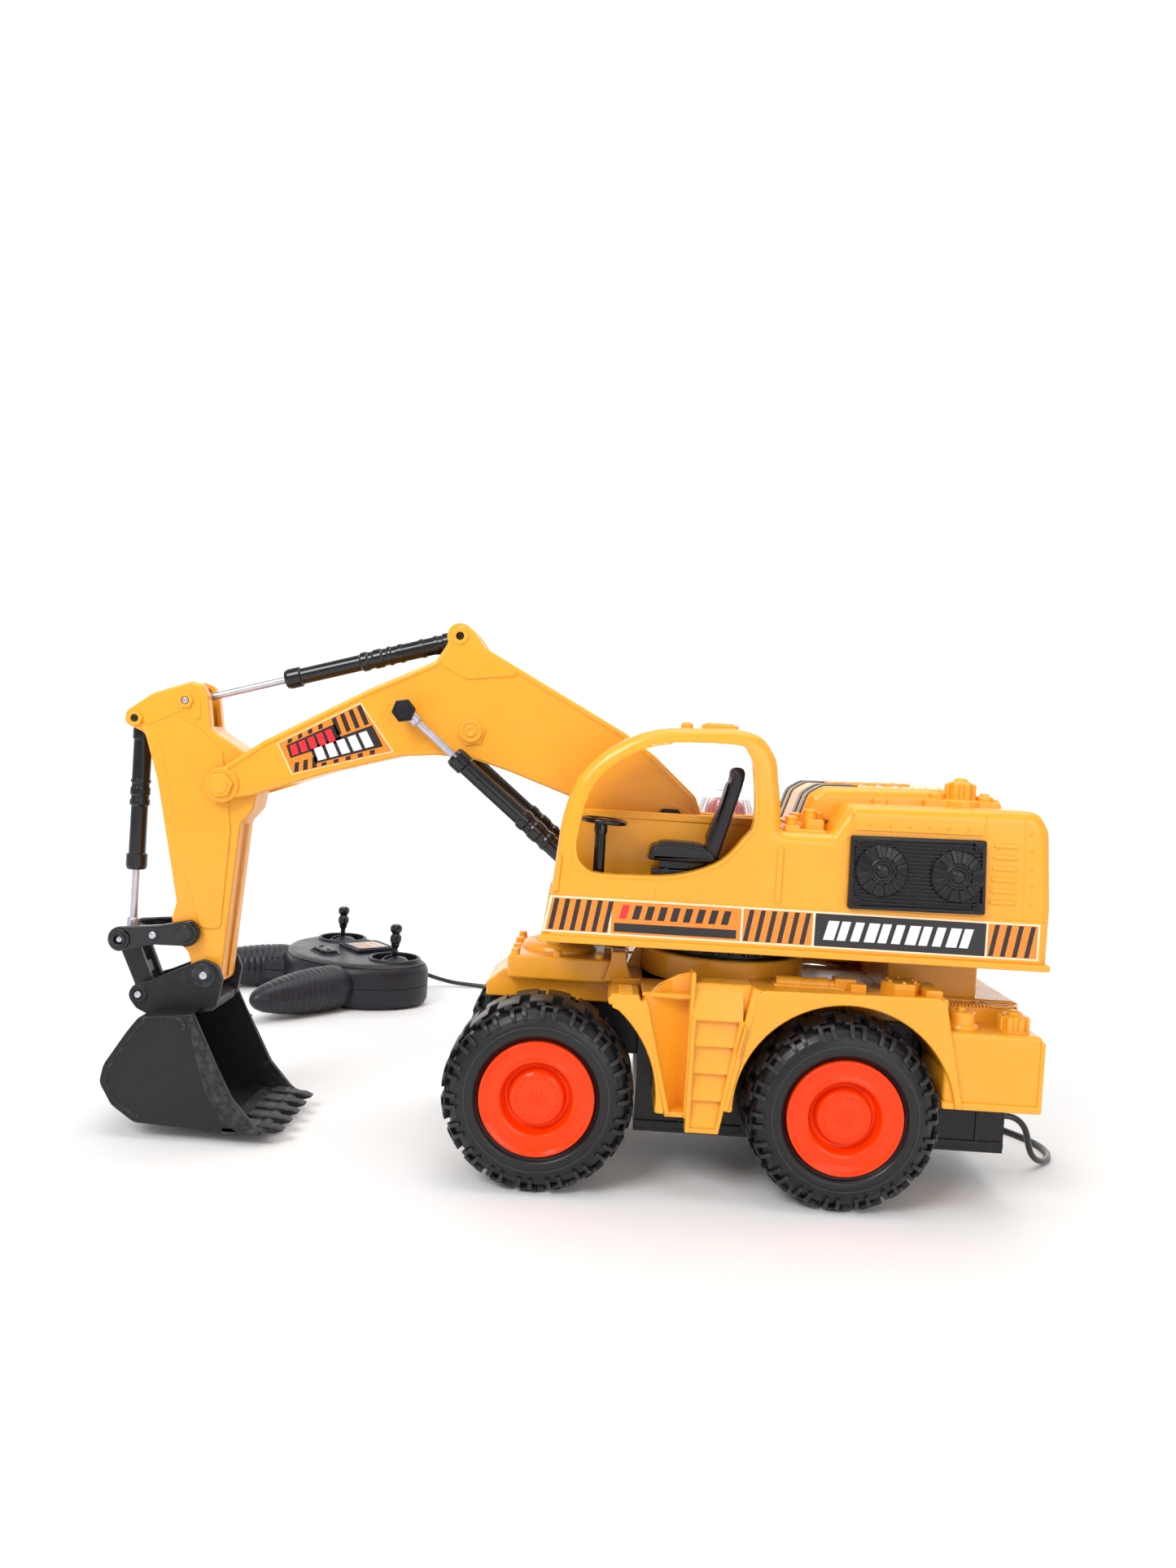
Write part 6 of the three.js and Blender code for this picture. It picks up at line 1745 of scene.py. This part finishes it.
def grip_base(t):
    knots = [(-6, 0), (-3, 10), (4, 15.6), (16, 17.3), (30, 17.4), (46, 16.2), (62, 13.8), (74, 10.8),
             (82, 7.4), (86.4, 3.8), (88, 0)]
    for (t0, r0), (t1, r1) in zip(knots, knots[1:]):
        if t <= t1:
            u = (t - t0) / (t1 - t0)
            if t0 < 5:
                u = math.sin(math.pi / 2 * u)
            elif t1 >= 80:
                u = u ** 1.5 if t0 < 86 else 1 - math.sqrt(1 - u)
            return r0 + (r1 - r0) * u
    return 0


def grip(side):
    """Teardrop grip with rounded ribs round it."""
    profile, t = [(0, -6)], -5.6
    while t < 87.6:
        ribbed = 18 < t < 76
        wave = 0.75 * abs(math.sin(math.pi * (t - 18) / 4.8)) ** 0.6 if ribbed else 0
        profile.append((max(0.3, grip_base(t) - (0.75 - wave if ribbed else 0)), t))
        t += 0.6 if ribbed else 1.2
    profile.append((0, 88))
    turn = (Matrix.Translation((side * 44, -42, 17.5)) @ Matrix.Rotation(math.pi + side * 0.24, 4, "Z")
            @ Matrix.Rotation(-math.pi / 2, 4, "X"))
    return Solid().lathe(profile, turn, 56)


def handset_top():
    s = Solid()
    slab(s, handset_line(), SPLIT + 0.15, TOP, steps=7, fillets=(0.4, 9.5))
    room, wells, slot, recess = Solid(), Solid(), Solid(), Solid()
    slab(room, inset(handset_line(), 2.6), SPLIT - 4, TOP - 2.6, 0)
    for side in (-1, 1):
        slab(wells, circle(side * WELL_X, 0, 18.4, 56), TOP - 9.6, TOP + 6, 0)
    slab(slot, rounded([[-14.6, -46.6], [14.6, -46.6], [14.6, -31.4], [-14.6, -31.4]], 7.4, 8), TOP - 9,
         TOP + 4, 0)
    slab(recess, rounded([[-15, 20.2], [15, 20.2], [9, 33], [-9, 33]], 1.5), TOP - 7.5, TOP + 3, 0)
    return s, [room, wells, slot, recess]


def fin_line(side):
    fin = [[side * x, y] for x, y in ([21, -60], [37, -50], [38.5, -72], [34, -76])]
    return rounded(fin if area(fin) > 0 else fin[::-1], 1, 3)


def handset_top_details():
    s = Solid()
    for side in (-1, 1):
        place = upright(side * WELL_X, 0)
        ring = [(18.3, TOP - 9.8), (18.3, TOP + 1.2), (18.9, TOP + 1.9), (20.2, TOP + 1.8), (21, TOP + 0.8),
                (21.4, TOP - 0.6), (21.2, TOP - 2.2), (20, TOP - 2.4), (20, TOP - 9.8)]
        s.lathe(soften(ring, 0.5, 3), place, 72)
        s.lathe([(16.4, TOP - 11.4), (18.8, TOP - 11.4), (18.8, TOP - 9.2), (16.4, TOP - 9.2)], place, 56)
    slab(s, rounded([[-18, -18.1], [18, -18.1], [18, 17.9], [-18, 17.9]], 1.2, 3), TOP - 2, TOP + 2.9, 0.7,
         steps=3)
    frame_hole = rounded([[-14.2, -14.3], [14.2, -14.3], [14.2, 14.1], [-14.2, 14.1]], 3, 5)
    slab(s, rounded([[-16, -16.1], [16, -16.1], [16, 15.9], [-16, 15.9]], 3.5, 5), TOP + 2.4, TOP + 3.5,
         0.35, holes=[frame_hole])
    oval = rounded([[-16.4, -48.2], [16.4, -48.2], [16.4, -29.8], [-16.4, -29.8]], 9, 8)
    gap = rounded([[-14.5, -46.5], [14.5, -46.5], [14.5, -31.5], [-14.5, -31.5]], 7.4, 8)
    slab(s, oval, TOP - 1.6, TOP + 0.8, 0.5, holes=[gap])
    for side in (-1, 1):
        slab(s, fin_line(side), SPLIT + 0.2, 24.5, 0.7)
        slab(s, rounded([[side * 24, -60.5], [side * 29, -58], [side * 35.6, -73.6], [side * 33, -75.4]],
                        0.6), 24, 25.6, 0.5)
    s.box_row(5, (2.8, 0, 0), -7, -5.6, 21.2, 24.4, TOP - 8.4, TOP - 6.6, 0.3)
    return s


def handset_bottom():
    s = Solid()
    slab(s, handset_line(), 0, SPLIT - 0.15, steps=6, fillets=(7.5, 0.4))
    room, door = Solid(), Solid()
    slab(room, inset(handset_line(), 2.6), 2.6, SPLIT + 4, 0)
    slab(door, rectangle(-31, 31, -46, -4, 1, 2), -2, 3, 0)
    return s, [room, door]


def handset_bottom_details():
    s = Solid()
    for x, y in HANDSET_FEET:
        ring = [(3.4, 0.5), (5.4, 0.5), (5.4, 1.6), (3.4, 1.6)]
        s.lathe(ring, Matrix.Translation((x, y, -0.5)), 32)
    for side in (-1, 1):
        slab(s, fin_line(side), 10, SPLIT - 0.2, 0.7)
    place = Matrix.Translation((12.6, 24.5, SPLIT)) @ Matrix.Rotation(-math.pi / 2, 4, "X")
    collar = [(0, 0), (4.6, 0), (4.6, 2.8), (3.6, 3.6), (3.6, 5), (2.9, 5.3), (2.9, 6), (3.4, 6.3),
              (3.4, 7.4), (2.7, 7.7), (2.7, 8.4), (3.1, 8.7), (3.1, 9.8), (2.5, 10.1), (2.4, 12.4),
              (0, 12.6)]
    s.lathe(soften(collar, 0.3, 2), place, 32)
    return s


def sticks_and_gimbals():
    for word, side in (("left", -1), ("right", 1)):
        place = upright(side * WELL_X, 0)
        dome_line = [(0, TOP - 9), (15, TOP - 9), (15, TOP - 7.6), (14.4, TOP - 5.6), (13, TOP - 3),
                     (10.6, TOP - 0.5), (8.2, TOP + 1.2), (5, TOP + 2.4), (0, TOP + 3)]
        s = Solid().lathe(soften(dome_line, 0.6, 3), place, 64)
        cut = Solid().plate(rounded([[side * WELL_X - 2.9, -9.4], [side * WELL_X + 2.9, -9.4],
                                     [side * WELL_X + 2.9, 9.4],
                                     [side * WELL_X - 2.9, 9.4]], 2.6, 6), TOP - 14, TOP + 9, 0, "Z")
        piece(f"gimbal_{word}_dome", s, HANDSET_BLACK, f"gimbal_{word}", HANDSET, cuts=cut,
              replaces=[f"gimbal_{word}"])
        knob_line = [(0, TOP - 8), (2.1, TOP - 8), (2.1, TOP + 9), (3.2, TOP + 10.4), (3.6, TOP + 13),
                     (4.1, TOP + 14), (4.1, TOP + 19), (3.3, TOP + 20), (3.1, TOP + 21), (4.2, TOP + 22.2),
                     (4.9, TOP + 24.2), (4.8, TOP + 26), (3.8, TOP + 27.6), (2.2, TOP + 28.4),
                     (0, TOP + 28.6)]
        knob = Solid().lathe(soften(knob_line, 0.5, 3), place, 40)
        knob.around(Solid().box(3.7, 4.5, -0.45, 0.45, TOP + 14.4, TOP + 18.8, 0.3), 10, place)
        piece(f"control_stick_{word}_knob", knob, GLOSS_BLACK, f"control_stick_{word}", HANDSET,
              replaces=[f"control_stick_{word}"], slot="handset_plastic")


def rocker_key():
    s = Solid()
    slab(s, rounded([[-13.2, -45.2], [13.2, -45.2], [13.2, -32.8], [-13.2, -32.8]], 6, 8), TOP - 6,
         TOP + 3.2, 1.4, steps=4)
    for side in (-1, 1):
        arrow = [[side * 10, -39], [side * 6.4, -41.4], [side * 6.4, -36.6]]
        slab(s, rounded(arrow, 0.5), TOP + 2.8, TOP + 3.9, 0.3)
    piece("rocker_key", s, HANDSET_BLACK, "rocker_button", HANDSET, replaces=["rocker_button"])


def emblem():
    """Plain bars where the handset carries its label."""
    low, high = TOP + 3.08 - 0.2, TOP + 3.08 + 0.08
    ground, orange, cream = Solid(), Solid(), Solid()
    slab(ground, rounded([[-14, -14.1], [14, -14.1], [14, 13.9], [-14, 13.9]], 3, 5), TOP + 2.7, TOP + 3.1,
         0.1)
    for k in range(4):
        x = -10.5 + 5.6 * k
        slab(orange, [[x, -10], [x + 3, -10], [x + 6, -2], [x + 3, -2]], low, high, 0)
    slab(cream, rectangle(-10.5, 10.5, 1.6, 2.8, 0.3, 2), low, high, 0)
    slab(cream, rectangle(-10.5, 10.5, 8.6, 9.8, 0.3, 2), low, high, 0)
    slab(orange, rectangle(-10.5, 10.5, 4.2, 7.2, 0.4, 2), low, high, 0)
    piece("emblem_ground", ground, GLOSS_BLACK, "handset", HANDSET, slot=NO_SLOT)
    piece("emblem_orange", orange, STICKER_ORANGE, "handset", HANDSET)
    piece("emblem_cream", cream, STICKER_CREAM, "handset", HANDSET)


def handset():
    body, cuts = handset_top()
    piece("handset_upper", body, HANDSET_BLACK, "handset", HANDSET, cuts=cuts, sharp=38,
          replaces=["handset_top_shell"])
    piece("handset_upper_trim", handset_top_details(), HANDSET_BLACK, "handset", HANDSET)
    body, cuts = handset_bottom()
    piece("handset_lower", body, HANDSET_BLACK, "handset", HANDSET, cuts=cuts, sharp=38,
          replaces=["handset_bottom_shell"])
    piece("handset_lower_trim", handset_bottom_details(), HANDSET_BLACK, "handset", HANDSET)
    for word, side in (("left", -1), ("right", 1)):
        upper_cut = Solid().box(-200, 200, -200, 200, -60, SPLIT + 0.1, 0.01)
        lower_cut = Solid().box(-200, 200, -200, 200, SPLIT - 0.1, 90, 0.01)
        core = Solid()
        slab(core, inset(handset_line(), 4), 4, TOP - 4, 0)
        for half, cut in (("upper", upper_cut), ("lower", lower_cut)):
            piece(f"grip_{word}_{half}", grip(side), HANDSET_BLACK, "handset", HANDSET, cuts=[cut, core])
    sticks_and_gimbals()
    rocker_key()
    emblem()
    places = [Matrix.Translation((x, y, 0.2)) @ Matrix.Rotation(math.pi, 4, "X") for x, y in HANDSET_FEET]
    screws("handset_screws", places, "handset", STEEL, HANDSET, radius=2.6)
    ribs = Solid().box_row(6, (0, 2.4, 0), -12, 12, -42, -41, 0.05, 0.6, 0.2)
    piece("battery_door_grip", ribs, HANDSET_BLACK, "handset", HANDSET)


handset()


# ---- CAD parts that stay ---------------------------------------------------------------------
def coat(material, *names):
    for name in names:
        for holder in bpy.data.objects[name].material_slots:
            holder.material = material


coat(BLACK, "chassis_undertray", "bottom_cover", "front_axle_beam", "steering_knuckle_near",
     "steering_knuckle_far", "tie_rod", "house_floor")
coat(STEEL, "drive_motor", "rear_axle", "motor_pinion", "swing_motor")
coat(moulded("gear_acetal", (0.5, 0.5, 0.48), (0.3, 0.42), 0.06, 0.05, 700), "drive_gear")
coat(HANDSET_BLACK, "battery_door")
coat(BOARD, "circuit_board")
